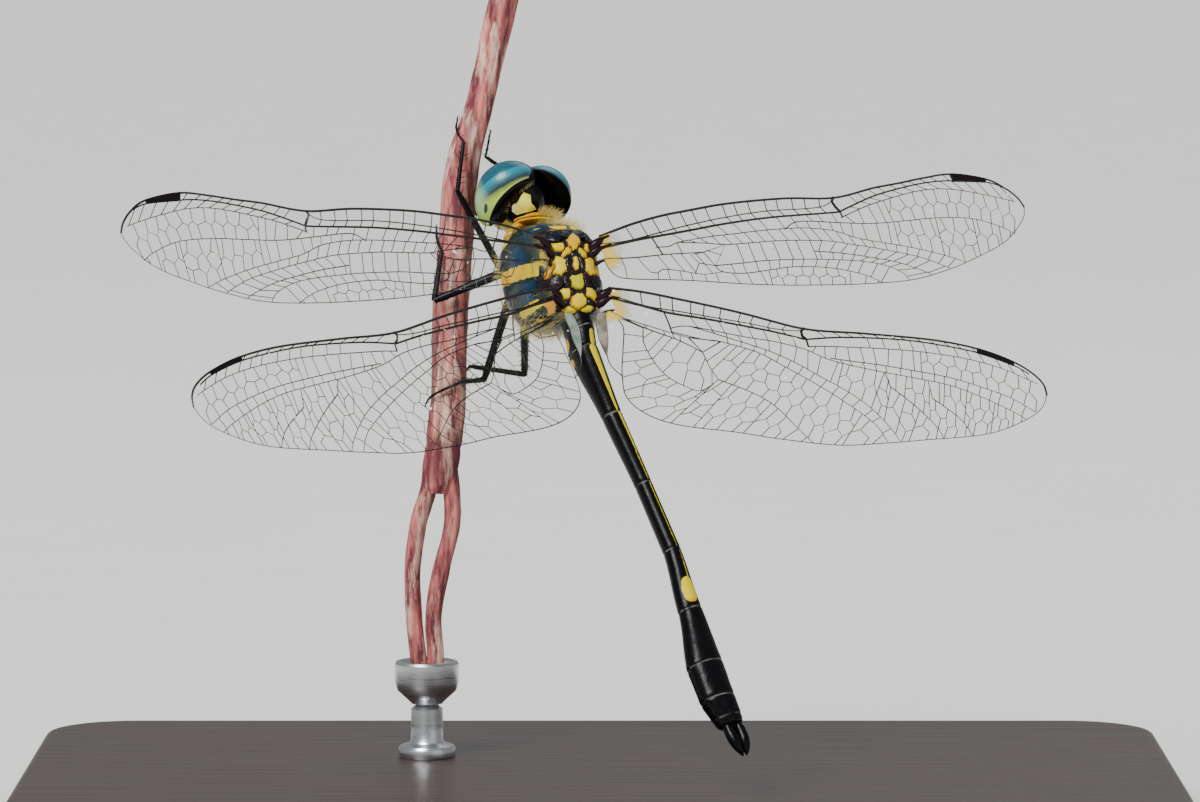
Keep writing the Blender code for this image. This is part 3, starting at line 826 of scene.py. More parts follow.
class DRAGONFLY_OT_perch(bpy.types.Operator):
    """The cut stem with its two strands, in flaking reddish bark"""

    bl_idname = "dragonfly.perch"
    bl_label = "Perch"

    def execute(self, context):
        look = context.scene.dragonfly_colours
        bark = finish("flaking_bark", Base_Color=look.bark, Roughness=0.72, Specular_IOR_Level=0.3)
        place = object_place(bark, (1.0, 1.0, 0.16))
        streaks = speckle(bark, 1.9, 5.0, 0.62, place)
        patches = speckle(bark, 1.1, 6.0, 0.72, object_place(bark, (1.0, 1.0, 0.2)))
        fine = speckle(bark, 6.0, 5.0, 0.7, object_place(bark, (1.0, 1.0, 0.25)))
        tone = mixed(bark, ranged(bark, streaks, 0.42, 0.62), look.bark_dark, look.bark)
        tone = mixed(bark, ranged(bark, patches, 0.52, 0.64, 0.0, 0.9), tone, look.bark_pale)
        # Painted shade: the bark darkens to its groove colour where its surface sinks below the mean radius.
        hollow_shade = ranged(bark, field(bark, "dip"), 0.02, -0.07, 0.0, 0.75)
        tone = mixed(bark, hollow_shade, tone, look.bark_dark)
        tone = mixed(bark, ranged(bark, fine, 0.62, 0.8, 0.0, 0.5), tone, (0.85, 0.70, 0.58))
        drive(bark, "Base Color", tone)
        bump(bark, total(bark, streaks, fine), 0.05, 0.8)

        stem_line = [(x, y, STEM_DEPTH, r - 0.09) for (x, y), r in zip(STEM, STEM_RADII)]
        stem_line.append((-9.1, -5.2, STEM_DEPTH, 0.62))
        lines = [("stem", stem_line, 56, 0.12, 3.0)]
        for side, lean in (("left", -0.42), ("right", 0.42)):
            rows = [(-8.75 + lean * 0.4, -1.0, STEM_DEPTH, 0.35), (-8.95 + lean, -3.2, STEM_DEPTH, 0.5)]
            rows += [(x, y, STEM_DEPTH, 0.47) for x, y in STRANDS[side]]
            x, y = STRANDS[side][-1]
            rows.append((x + (0.12 if side == "left" else -0.12), y - 1.1, STEM_DEPTH, 0.46))
            lines.append((side, rows, 32, 0.12, 11.0 if side == "left" else 17.0))
        whole = bmesh.new()
        for _, rows, sides, step, seed in lines:
            relief = bark_radius(seed)
            dense = curved(rows, step)
            points = [Vector(row[:3]) for row in dense]
            radii = [row[3] for row in dense]
            thin = 0.55 if sides < 40 else 1.0

            def shape(around, along, relief=relief, points=points, radii=radii, thin=thin):
                index = min(int(along * (len(points) - 1)), len(points) - 1)
                ring = 0.05 * bell(points[index].y + 2.4, 0.18) * (thin == 1.0)
                return 1.0 + thin * (relief(around, points[index].y) - ring) / radii[index]

            tube = hose(points, radii, sides, shape)
            middle_of = {}
            layer = tube.verts.layers.float.new("dip")
            for vert in tube.verts:
                key = round(vert.co.y / step)
                if key not in middle_of:
                    middle_of[key] = min(range(len(points)), key=lambda k: abs(points[k].y - vert.co.y))
                index = middle_of[key]
                vert[layer] = (vert.co - points[index]).length - radii[index]
            merge(whole, tube)
        nodes = ["perch_stem", "perch_strand_left", "perch_strand_right"]
        keep("perch_bark", whole, TABLE, nodes, [bark], sharp=70)
        return {"FINISHED"}


# ---------------------------------------------------------------- thorax


def thorax_row(y):
    """The half width, half height and middle of the thorax at a distance forwards."""
    for first, last in zip(THORAX_ROWS, THORAX_ROWS[1:]):
        if first[0] >= y >= last[0]:
            part = (first[0] - y) / (first[0] - last[0])
            return [a + (b - a) * part for a, b in zip(first[1:], last[1:])]
    row = THORAX_ROWS[0] if y > 0 else THORAX_ROWS[-1]
    return row[1:]


def back_height(x, y):
    """The height of the thorax's back over a point."""
    wide, high, middle = thorax_row(y)
    power = 2 * THORAX_SQUARE
    share = min(abs(x) / wide, 0.999) ** power
    return middle + high * (1.0 - share) ** (1 / power)


def from_line(a, b, y, z):
    """The distance of a point from a length of line in the side view."""
    (ay, az), (by, bz) = a, b
    run, rise = by - ay, bz - az
    part = clamp(((y - ay) * run + (z - az) * rise) / (run**2 + rise**2))
    return hypot(y - ay - run * part, z - az - rise * part)


def smooth_step(value):
    """A soft step from 0 to 1."""
    value = clamp(value)
    return value * value * (3 - 2 * value)


# Side marks of the thorax: two ends (forwards, up) and half the width of each.
SIDE_MARKS = [
    ((-0.10, -4.8), (-1.0, -1.15), 0.40),
    ((-2.9, -1.1), (-2.75, -3.4), 0.26),
    ((1.75, -4.9), (1.9, -3.9), 0.35),
]
SIDE_SEAMS = [
    ((0.75, -0.9), (0.55, -6.0)),
    ((-1.75, -0.9), (-1.2, -6.0)),
    ((1.6, -1.4), (1.7, -6.0)),
]
SEAM_DEPTH, SEAM_WIDTH = 0.09, 0.09
# Where the shell shines blue: forwards, up and how far round.
BLUE_PLACES = [(1.9, -1.6, 1.0), (0.15, -2.5, 1.25), (-2.05, -2.1, 0.85), (-0.2, -4.6, 0.9)]

# Plates of the back: across, forwards, half width, half length, turn, height, and how yellow:
# below 0 it stays dark, 0 to 1 goes from yellow to orange, and 2 is olive.
PAIRED_PLATES = [
    (0.46, 1.46, 0.50, 0.25, 12, 0.13, 0.0),
    (1.02, 0.62, 0.56, 0.32, -12, 0.30, -1),
    (0.52, 0.84, 0.26, 0.16, 0, 0.08, -1),
    (1.62, 0.95, 0.35, 0.30, 0, 0.08, -1),
    (1.00, -0.05, 0.36, 0.24, 16, 0.19, 0.1),
    (0.48, -0.36, 0.17, 0.34, 36, 0.15, 0.3),
    (1.62, 0.16, 0.24, 0.24, 0, 0.12, 0.7),
    (1.66, -0.48, 0.24, 0.38, 6, 0.15, 0.2),
    (0.60, 0.24, 0.15, 0.30, -20, 0.08, -1),
    (0.98, -1.18, 0.38, 0.48, -12, 0.20, 0.1),
    (0.44, -1.05, 0.16, 0.40, 4, 0.09, -1),
    (1.32, -0.62, 0.12, 0.45, 8, 0.07, -1),
    (1.44, -1.36, 0.20, 0.44, 24, 0.14, 0.6),
    (1.95, -1.25, 0.25, 0.60, 0, 0.06, -1),
    (1.42, -2.14, 0.48, 0.42, 0, 0.34, -1),
    (0.62, -2.05, 0.20, 0.42, 0, 0.12, -1),
    (0.36, -2.76, 0.18, 0.18, 0, 0.07, -1),
    (0.88, -2.90, 0.46, 0.27, -20, 0.19, 0.1),
    (1.45, -2.80, 0.25, 0.22, 0, 0.08, -1),
    (0.82, -3.38, 0.26, 0.16, -30, 0.12, -1),
    (1.42, -3.38, 0.30, 0.40, 8, 0.15, 0.9),
    (0.50, -3.84, 0.40, 0.19, 14, 0.13, 0.1),
    (1.05, -3.90, 0.25, 0.18, 0, 0.07, -1),
]
MIDDLE_PLATES = [
    (0.0, 1.02, 0.20, 0.16, 0, 0.08, -1),
    (0.0, 0.26, 0.34, 0.46, 0, 0.24, 0.45),
    (0.0, -0.44, 0.20, 0.18, 0, 0.08, -1),
    (0.0, -1.06, 0.14, 0.46, 0, 0.22, 0.0),
    (0.0, -1.66, 0.24, 0.12, 0, 0.07, -1),
    (0.0, -2.18, 0.32, 0.46, 0, 0.25, 2.0),
    (0.0, -2.80, 0.14, 0.14, 0, 0.07, -1),
    (0.0, -3.36, 0.38, 0.42, 0, 0.28, 0.05),
]
MIDLINE_AT, MIDLINE_LEAN = 0.24, 0.115
# The sheet that carries the plates: its middle, half length and half width.
SHEET_AT, SHEET_LONG, SHEET_WIDE = -1.15, 2.95, 2.02
# How far off a plate can still be the nearest, how far each grows past its own outline, the width
# of its sloping edge, and of the dark line round it.
PLATE_SEARCH, PLATE_GROWTH, PLATE_SLOPE, PLATE_LINE = 1.6, 1.30, 0.11, 0.018


def plate_table():
    """Every plate with its turn worked out, on both sides."""
    table = []
    for side, (x, y, wide, long, turn, height, tone) in (
        [(side, plate) for plate in PAIRED_PLATES for side in (-1, 1)] + [(1, row) for row in MIDDLE_PLATES]
    ):
        angle = radians(side * turn)
        table.append((side * x, y, cos(angle), sin(angle), wide, long, height, tone))
    return table


def plate_at(table, x, y):
    """Height, edge distance and tone of the mosaic of plates at a point of the back."""
    best = [(9.0, None), (9.0, None)]
    for row in table:
        dx, dy = x - row[0], y - row[1]
        if abs(dx) > PLATE_SEARCH or abs(dy) > PLATE_SEARCH:
            continue
        apart = hypot((dx * row[2] + dy * row[3]) / row[4], (dy * row[2] - dx * row[3]) / row[5])
        if apart < best[0][0]:
            best = [(apart, row), best[0]]
        elif apart < best[1][0]:
            best[1] = (apart, row)
    (first, row), (second, _) = best
    if row is None:
        return 0.0, -1.0, 0.0
    size = (row[4] * row[5]) ** 0.5
    edge = min((second - first) * 0.5, PLATE_GROWTH - first) * size
    height = row[6] * smooth_step(edge / PLATE_SLOPE) * (1.0 - 0.2 * min(first, 1.0) ** 2)
    return height, (edge - PLATE_LINE if row[7] >= 0 else -0.1 - edge), max(row[7], 0.0)


class DRAGONFLY_OT_thorax(bpy.types.Operator):
    """The metallic body with its side marks, the plates of its back and the collar"""

    bl_idname = "dragonfly.thorax"
    bl_label = "Thorax"

    def execute(self, context):
        look = context.scene.dragonfly_colours

        def skin(around, along):
            y, wide, high, middle = along_rows(THORAX_ROWS, along)
            x, z = on_ring(around - pi / 2, wide, high, THORAX_SQUARE)
            z += middle
            dent = sum(SEAM_DEPTH * bell(from_line(*seam, y, z), SEAM_WIDTH) for seam in SIDE_SEAMS)
            dent *= min(1.0, abs(x) / 1.2)
            grow = 1.0 - dent / max(wide, 0.5) + 0.02 * noise.noise(Vector((x, y, z)) * 1.1)
            return Vector((x * grow, y, middle + (z - middle) * grow))

        mesh = sleeve(128, 110, skin)

        def yellow_mark(co):
            nearest = min(from_line(a, b, co.y, co.z) - half for a, b, half in SIDE_MARKS)
            ragged = 0.10 * noise.noise(co * 2.6) + 0.05 * noise.noise(co * 7.0)
            return ragged - nearest - max(0.0, 1.1 - abs(co.x)) * 2.0

        def blue_patch(co):
            shine = max(1.0 - hypot(co.y - y, co.z - z) / reach for y, z, reach in BLUE_PLACES)
            return shine + 0.35 * noise.noise(co * 1.3)

        metal = finish(
            "metallic_shell", Base_Color=look.blue, Metallic=0.35, Roughness=0.3, Coat_Weight=0.12,
            Coat_Roughness=0.12, Specular_IOR_Level=0.25,
        )
        patch = ranged(metal, field(metal, "patch"), 0.05, 0.6)
        tone = mixed(metal, patch, look.blue_dark, look.blue)
        fine = speckle(metal, 8.0, 4.0)
        tone = mixed(metal, ranged(metal, fine, 0.35, 0.7, 0.0, 0.35), tone, (0.01, 0.10, 0.09))
        mark = ranged(metal, field(metal, "mark"), -0.02, 0.03)
        warm = ranged(metal, speckle(metal, 1.0), 0.45, 0.7)
        paint = mixed(metal, warm, look.yellow, look.orange)
        colour_by(metal, mark, tone, paint)
        drive(metal, "Metallic", ranged(metal, mark, 0.0, 1.0, 0.35, 0.0))
        bump(metal, fine, 0.02)
        keep(
            "thorax_shell", mesh, THORAX, ["thorax"], [metal],
            {"mark": yellow_mark, "patch": blue_patch},
        )

        table = plate_table()
        mesh = bmesh.new()
        bmesh.ops.create_grid(mesh, x_segments=190, y_segments=240, size=1.0)
        edge_at = mesh.verts.layers.float.new("edge")
        tone_at = mesh.verts.layers.float.new("tone")
        for vert in mesh.verts:
            across_share, along_share = vert.co.x, vert.co.y
            y = SHEET_AT + SHEET_LONG * along_share
            reach = min(SHEET_WIDE * (1.0 - 0.10 * abs(along_share) ** 3), 0.93 * thorax_row(y)[0])
            x = reach * across_share
            sway, jag = (
                0.11 * noise.noise(Vector((x * 2.3, y * 2.3, level)))
                + 0.05 * noise.noise(Vector((x * 6.5, y * 6.5, level)))
                for level in (3.0, 8.0)
            )
            height, edge, tone = plate_at(table, x + sway, y + jag)
            rim = max(abs(across_share), abs(along_share))
            sink = 0.16 * smooth_step((rim - 0.90) / 0.10)
            x += MIDLINE_AT + MIDLINE_LEAN * y
            fine = 0.012 * noise.noise(Vector((x * 6, y * 6, 1.0)))
            vert.co = (x, y, back_height(x, y) + height * (1 - sink * 4) - sink + 0.02 + fine)
            vert[edge_at], vert[tone_at] = edge - sink, tone
        rim = [edge for edge in mesh.edges if edge.is_boundary]
        made = bmesh.ops.extrude_edge_only(mesh, edges=rim)
        low = [part for part in made["geom"] if isinstance(part, bmesh.types.BMVert)]
        bmesh.ops.translate(mesh, vec=(0, 0, -0.3), verts=low)
        close(mesh)

        plates = finish(
            "back_plates", Base_Color=look.yellow, Roughness=0.3, Coat_Weight=0.06, Coat_Roughness=0.12,
            Specular_IOR_Level=0.24,
        )
        fine = speckle(plates, 8.0, 4.0)
        tone = field(plates, "tone")
        paint = mixed(plates, ranged(plates, tone, 0.0, 1.0), look.yellow, look.orange)
        paint = mixed(plates, ranged(plates, tone, 1.0, 2.0), paint, look.olive)
        worn = ranged(plates, speckle(plates, 2.2, 4.0), 0.5, 0.72, 0.0, 0.5)
        paint = mixed(plates, worn, paint, look.orange)
        gloom = ranged(plates, speckle(plates, 1.3, 3.0), 0.4, 0.62)
        dark = mixed(plates, gloom, look.hinge, look.blue_dark)
        edge = field(plates, "edge")
        # Painted shade: each plate darkens to deep orange on the rim where it slopes down into its seam.
        stain_and_edge_shade = mixed(plates, ranged(plates, edge, 0.0, 0.05), toned(look.orange, 0.5), paint)
        colour_by(plates, ranged(plates, edge, -0.012, 0.008), dark, stain_and_edge_shade)
        drive(plates, "Roughness", ranged(plates, fine, 0.3, 0.75, 0.18, 0.42))
        bump(plates, fine, 0.014)
        keep("back_plates", mesh, THORAX, [], [plates], sharp=180)

        def collar(around, along):
            y, wide, high, middle = along_rows(COLLAR_ROWS, along)
            x, z = on_ring(around - pi / 2, wide, high)
            swell = 1.0 + 0.07 * sin(along * 5 * pi) + 0.05 * noise.noise(Vector((x, y * 2, z)) * 2)
            return Vector((x * swell, y, middle + z * swell))

        mesh = sleeve(64, 40, collar)
        for side in (-1, 1):
            for x, y, z, radii in COLLAR_LUMPS:
                pillow(mesh, radii, (side * x, y, z), 32, 20, Matrix.Rotation(side * 0.25, 4, "Y"))
        skin = mark_finish("collar_skin", look.yellow, look.orange)
        base = base_tone(skin)
        # Painted shade: the skin darkens to brown in the folds between the collar's swellings.
        colour_by(skin, field(skin, "fold"), base, (0.10, 0.035, 0.01))
        first, last = COLLAR_ROWS[0][0], COLLAR_ROWS[-1][0]

        # How deep in a fold each point lies, which sets the painted shade there.
        def fold(co):
            wave = sin((co.y - first) / (last - first) * 5 * pi + 0.6 * noise.noise(co * 1.5))
            return clamp((-wave - 0.45) * 1.6)

        keep("collar", mesh, THORAX, ["prothorax"], [skin], {"fold": fold})
        return {"FINISHED"}


# ---------------------------------------------------------------- head

# The eyes meet at a seam and are cut off below along a slant. The rear rim of each eye lies on a
# plane, in coordinates where the eye is a ball of radius 1 and x runs towards the other eye:
# y = a x + b z + c.
SEAM_HALF, SLANT_ANGLE, SLANT_TOP = 0.03, 33.5, 1.0
EYE_RIMS = {"left": (0.60, -0.26, -0.46), "right": (0.64, -0.60, 0.315)}
PRESSED = {"left": 0.50, "right": 0.86}
NAPE_AT, NAPE_SIZE = (-0.15, -0.28, 0.20), (1.30, 0.86, 1.38)
# The pale patch of the nape, seen from behind, and the line that its fringe of hair grows on.
NAPE_PATCH = [
    (-0.64, 1.14), (-0.22, 1.08), (-0.03, 0.66), (0.40, 0.33), (-0.24, 0.02), (-0.61, -0.24),
    (-0.93, -0.10), (-1.04, 0.26), (-0.86, 0.52), (-0.74, 0.87),
]
FRINGE_LINE = [
    (-0.23, -0.55, 1.51), (-0.56, -0.74, 1.28), (-0.80, -0.82, 1.02), (-1.00, -0.85, 0.69),
    (-1.10, -0.86, 0.39), (-1.09, -0.84, -0.12), (-0.99, -0.69, -0.62),
]
# Lumps of the face, each with its radii and its middle: core, crown, brow, the two plates below
# it and the lip.
FACE_LUMPS = [
    ((1.38, 1.22, 1.45), (0.0, 0.50, -0.62)), ((0.46, 0.48, 0.34), (0.0, 1.24, 0.58)),
    ((0.82, 0.44, 0.36), (0.0, 1.54, 0.14)), ((1.06, 0.44, 0.38), (0.0, 1.50, -0.44)),
    ((0.74, 0.32, 0.20), (0.0, 1.62, -0.88)), ((0.76, 0.40, 0.38), (0.0, 1.42, -1.24)),
]
FACE_SEAMS = (-0.14, -0.76, -1.02)


def inside(outline, x, y):
    """How far a point is inside an outline, or outside it if below 0."""
    within, nearest = False, 9.0
    for (x0, y0), (x1, y1) in zip(outline, outline[1:] + outline[:1]):
        nearest = min(nearest, from_line((x0, y0), (x1, y1), x, y))
        if (y0 > y) != (y1 > y) and x < x0 + (x1 - x0) * (y - y0) / (y1 - y0):
            within = not within
    return nearest if within else -nearest


def eye_ball(side):
    """One eye in the head frame, flattened behind its rim, with how far each point is past it."""
    a, b, c = EYE_RIMS[side]
    sign = -1 if side == "left" else 1
    length = (a * a + b * b + 1) ** 0.5
    facing = Vector((-a, 1.0, -b)) / length
    mesh = bmesh.new()
    bmesh.ops.create_uvsphere(mesh, u_segments=88, v_segments=72, radius=1.0)
    turn = Vector((0, 0, 1)).rotation_difference(facing).to_matrix()
    bmesh.ops.rotate(mesh, cent=(0, 0, 0), matrix=turn, verts=mesh.verts)
    at = facing * (c / length)
    bmesh.ops.bisect_plane(mesh, geom=everything(mesh), dist=1e-4, plane_co=at, plane_no=facing)
    rear_at = mesh.verts.layers.float.new("rear")
    band_at = mesh.verts.layers.float.new("band")
    dash_at = mesh.verts.layers.float.new("dash")
    for vert in mesh.verts:
        past = facing.dot(vert.co) * length - c
        by_seam = 3.2 * max(0.0, vert.co.x - 0.2) ** 1.1 * (side == "left")
        vert[rear_at] = past - by_seam
        vert[band_at] = past + 0.35 * vert.co.z + by_seam if side == "left" else 0.47 + 1.2 * past
        tilt = (vert.co.x + 0.76) + 0.35 * (vert.co.z + 0.30)
        vert[dash_at] = 1.0 - hypot(tilt / 0.05, (vert.co.z + 0.30) / 0.16)
        if past < -1e-5:
            beyond = -past / length
            bead = 0.05 * bell(beyond - 0.06, 0.05)
            vert.co = vert.co + facing * (beyond * PRESSED[side] - bead)
        vert.co = Vector((
            sign * EYE_MIDDLE[0] - sign * vert.co.x * EYE_RADII[0],
            EYE_MIDDLE[1] + vert.co.y * EYE_RADII[1],
            EYE_MIDDLE[2] + vert.co.z * EYE_RADII[2] * (EYE_DROP if vert.co.z < 0 else 1.0),
        ))
    corner = (sign * SEAM_HALF, 0.0, SLANT_TOP)
    slope = radians(SLANT_ANGLE)
    cut(mesh, corner, (-sign, 0, 0))
    cut(mesh, corner, (-sign * cos(slope), 0.0, -sin(slope)))
    return mesh


class DRAGONFLY_OT_head(bpy.types.Operator):
    """Eyes, nape, face, mouthparts and feelers"""

    bl_idname = "dragonfly.head"
    bl_label = "Head"

    def execute(self, context):
        look = context.scene.dragonfly_colours
        eye = finish(
            "faceted_eye", Base_Color=look.eye_top, Roughness=0.2, Specular_IOR_Level=0.3,
            Coat_Weight=0.22, Coat_Roughness=0.08,
        )
        cup = shell_finish("eye_back", look.shell, 0.16, 4.0, 0.01)
        place = object_place(eye)
        sway = ranged(eye, speckle(eye, 0.9, 2.0), 0.0, 1.0, -0.06, 0.06)
        sway = total(eye, sway, field(eye, "band"))
        band = add(eye, "ShaderNodeValToRGB", Fac=sway).outputs[0]
        ramp = band.node.color_ramp
        top = look.eye_top
        stops = [
            (0.0, tuple(min(1.0, 1.15 * level + 0.02) for level in look.eye_low)), (0.14, look.eye_low),
            (0.33, (0.17, 0.24, 0.05)), (0.42, look.eye_smear), (0.55, (0.035, 0.085, 0.10)),
            (0.70, top), (0.92, toned(top, 1.25)), (1.0, toned(top, 0.5)),
        ]
        ramp.elements[0].color = (*stops[0][1], 1.0)
        ramp.elements[1].position, ramp.elements[1].color = stops[-1][0], (*stops[-1][1], 1.0)
        for position, tint in stops[1:-1]:
            ramp.elements.new(position).color = (*tint, 1.0)
        rear = field(eye, "rear")
        low = ranged(eye, field(eye, "low"), 0.0, 1.0)
        # Painted rim highlight: the lower eye pales towards its outer side.
        green = mixed(eye, ranged(eye, field(eye, "outer"), 0.5, 1.1), look.eye_low, look.eye_rim_highlight)
        tone = mixed(eye, product(eye, low, 0.8), band, green)
        streaks = add(
            eye, "ShaderNodeTexWave", {"wave_type": "BANDS", "bands_direction": "X"},
            Vector=add(eye, "ShaderNodeCombineXYZ", X=product(eye, rear, 0.001)).outputs[0],
            Scale=9000.0, Distortion=0.6,
        ).outputs["Fac"]
        behind = ranged(eye, rear, -0.01, 0.015)
        lines = product(eye, product(eye, ranged(eye, streaks, 0.6, 0.85), low), 0.45)
        tone = mixed(eye, lines, tone, (0.10, 0.16, 0.03))
        glint = product(eye, ranged(eye, rear, 0.05, 0.0, 0.0, 0.6), ranged(eye, sway, 0.45, 0.35))
        tone = mixed(eye, glint, tone, (0.62, 0.66, 0.30))
        tone = mixed(eye, ranged(eye, field(eye, "dash"), 0.0, 0.25), tone, (0.01, 0.015, 0.01))
        tone = mixed(eye, behind, look.shell, tone)
        facets = add(
            eye, "ShaderNodeTexVoronoi", {"feature": "DISTANCE_TO_EDGE"},
            Vector=place, Scale=26.0 / MM, Randomness=0.15,
        ).outputs["Distance"]
        cell_line = ranged(eye, facets, 0.0, 0.12, 0.2, 0.0)
        colour_by(eye, cell_line, tone, (0.01, 0.02, 0.03))
        bump(eye, ranged(eye, facets, 0.0, 0.3), 0.004, 0.5)

        for side, sign in (("left", -1), ("right", 1)):
            mesh = eye_ball(side)
            past = mesh.verts.layers.float["rear"]
            for face in mesh.faces:
                if max(vert[past] for vert in face.verts) < 1e-4:
                    face.material_index = 1

            def outer_side(co, sign=sign):
                return (sign * co.x - 0.9) / EYE_RADII[0]

            def low_side(co, sign=sign):
                reach = 0.45 + 0.35 * (sign * co.x - 1.6)
                return (reach - co.z) / 1.1 + 0.2 * noise.noise(co * 1.2)

            keep(
                f"eye_lens_{side}", mesh, HEAD, [f"eye_{side}"], [eye, cup],
                {"outer": outer_side, "low": low_side},
            )

        mesh = bmesh.new()
        pillow(mesh, NAPE_SIZE, NAPE_AT, 128, 96)
        for side in (-1, 1):
            pillow(mesh, (0.46, 0.42, 0.58), (side * 1.47, -0.70, -0.62), 32, 20)

        def nape_mark(co):
            if co.y >= NAPE_AT[1]:
                return -1.0
            return inside(NAPE_PATCH, co.x, co.z) + 0.04 * noise.noise(co * 3.0)

        nape = shell_finish("nape_shell", look.shell, 0.12, 5.0, 0.02)
        base = base_tone(nape)
        pale = ranged(nape, field(nape, "pale"), 0.0, 1.0)
        paint = mixed(nape, ranged(nape, speckle(nape, 1.4), 0.45, 0.7), look.nape, look.yellow)
        paint = mixed(nape, pale, paint, (0.86, 0.86, 0.80))
        mark = ranged(nape, field(nape, "mark"), -0.01, 0.02)
        colour_by(nape, mark, base, paint)
        keep(
            "nape", mesh, HEAD, ["head_nape"], [nape],
            {"mark": nape_mark, "pale": lambda co: 1.0 - hypot(co.x + 1.0, co.z - 0.1) / 0.36},
        )

        mesh = bmesh.new()
        for radii, middle in FACE_LUMPS:
            pillow(mesh, radii, middle, 56, 32)
        face = mark_finish("face_skin", look.face, look.yellow)
        base = base_tone(face)
        dark = ranged(face, field(face, "seam"), 0.35, 0.6)
        colour_by(face, dark, base, look.shell)

        def seam(co):
            line = max(bell(co.z - level + 0.06 * co.x**2, 0.06) for level in FACE_SEAMS)
            lip = co.y > 1.2 and co.z > -1.62
            rim = smooth_step((-1.36 - co.z - 0.1 * abs(co.x)) / 0.1) if lip else 0.0
            crown = smooth_step((co.z - 0.44) / 0.08) if co.y > 0.9 else 0.0
            return max(line * (co.y > 1.0), rim, crown) + 0.08 * noise.noise(co * 5)

        keep("face_plate", mesh, HEAD, ["face"], [face], {"seam": seam})

        mesh = bmesh.new()
        for side in (-1, 1):
            turn = Matrix.Rotation(side * 0.3, 4, "Y")
            pillow(mesh, (0.52, 0.74, 0.50), (side * 0.50, 0.72, -1.62), 40, 24, turn)
            turn = Matrix.Rotation(-side * 0.4, 4, "Z")
            pillow(mesh, (0.38, 0.52, 0.52), (side * 0.98, 1.02, -1.05), 32, 20, turn)
        pillow(mesh, (0.34, 0.62, 0.34), (0.0, 0.66, -1.90), 32, 20)

        def mouth_seam(co):
            jaw = bell(co.z + 1.42, 0.05) * (abs(co.x) > 0.7)
            return 0.9 * (bell(co.x, 0.05) + jaw)

        keep("mouth", mesh, HEAD, ["mouthparts"], [face], {"seam": mouth_seam})

        bead = finish("simple_eye", Base_Color=(0.30, 0.12, 0.03), Roughness=0.12, Coat_Weight=0.6)
        cloud = speckle(bead, 4.0, 2.0)
        colour_by(bead, cloud, (0.20, 0.07, 0.02), (0.46, 0.24, 0.08))
        mesh = bmesh.new()
        for middle in ((0.0, 1.72, 0.52), (-0.25, 1.58, 0.66), (0.25, 1.58, 0.66)):
            pillow(mesh, (0.10, 0.08, 0.10), middle, 24, 14)
        keep("simple_eyes", mesh, HEAD, [], [bead])

        black = shell_finish("feeler_black", look.shell)
        lines = []
        for side in (-1, 1):
            root, tip = Vector((side * 0.44, 1.72, 0.36)), Vector((side * 0.82, 2.95, 0.55))
            bend = root.lerp(tip, 0.5) + Vector((0.0, 0.0, 0.18))
            rows = [(*root, 0.09), (*root.lerp(bend, 0.4), 0.085), (*bend, 0.03), (*tip, 0.012)]
            lines.append(tapered(rows, 0.12))
        keep(
            "feelers", pipes(lines, 1), HEAD, ["antenna_left", "antenna_right"], [black]
        )
        return {"FINISHED"}


# ---------------------------------------------------------------- abdomen


def abdomen_row(back):
    """Half width, half height and shift of the abdomen at a distance behind its frame."""
    for first, last in zip(ABDOMEN_JOINTS, ABDOMEN_JOINTS[1:]):
        if back <= last[0]:
            break
    part = clamp((back - first[0]) / (last[0] - first[0]))
    soft = part * 0.6 + 0.4 * part * part * (3 - 2 * part)
    return [a + (b - a) * soft for a, b in zip(first[1:], last[1:])]


# Marks along the back of the abdomen: from, to, half width at each, and how far to the right.
BACK_MARKS = [
    (1.55, 2.15, 0.15, 0.18, 0.24),
    (2.55, 6.30, 0.22, 0.07, 0.10),
    (6.50, 8.90, 0.09, 0.05, 0.17),
    (8.90, 10.65, 0.035, 0.03, 0.12),
    (10.85, 14.80, 0.032, 0.026, 0.10),
    (15.0, 17.2, 0.022, 0.035, 0.18),
    (17.05, 17.45, 0.34, 0.42, 0.02),
    (17.45, 17.85, 0.42, 0.40, 0.04),
]


# Tail pieces: across, forwards of the last joint, up and radius.
SIDE_TAIL = [
    (0.34, 0.25, 0.12, 0.26), (0.34, -0.35, 0.16, 0.31), (0.28, -0.85, 0.18, 0.30),
    (0.19, -1.28, 0.14, 0.20), (0.12, -1.62, 0.08, 0.03),
]
MIDDLE_TAIL = [(0.0, 0.2, -0.30, 0.26), (0.0, -0.5, -0.34, 0.24), (0.0, -1.25, -0.2, 0.08)]


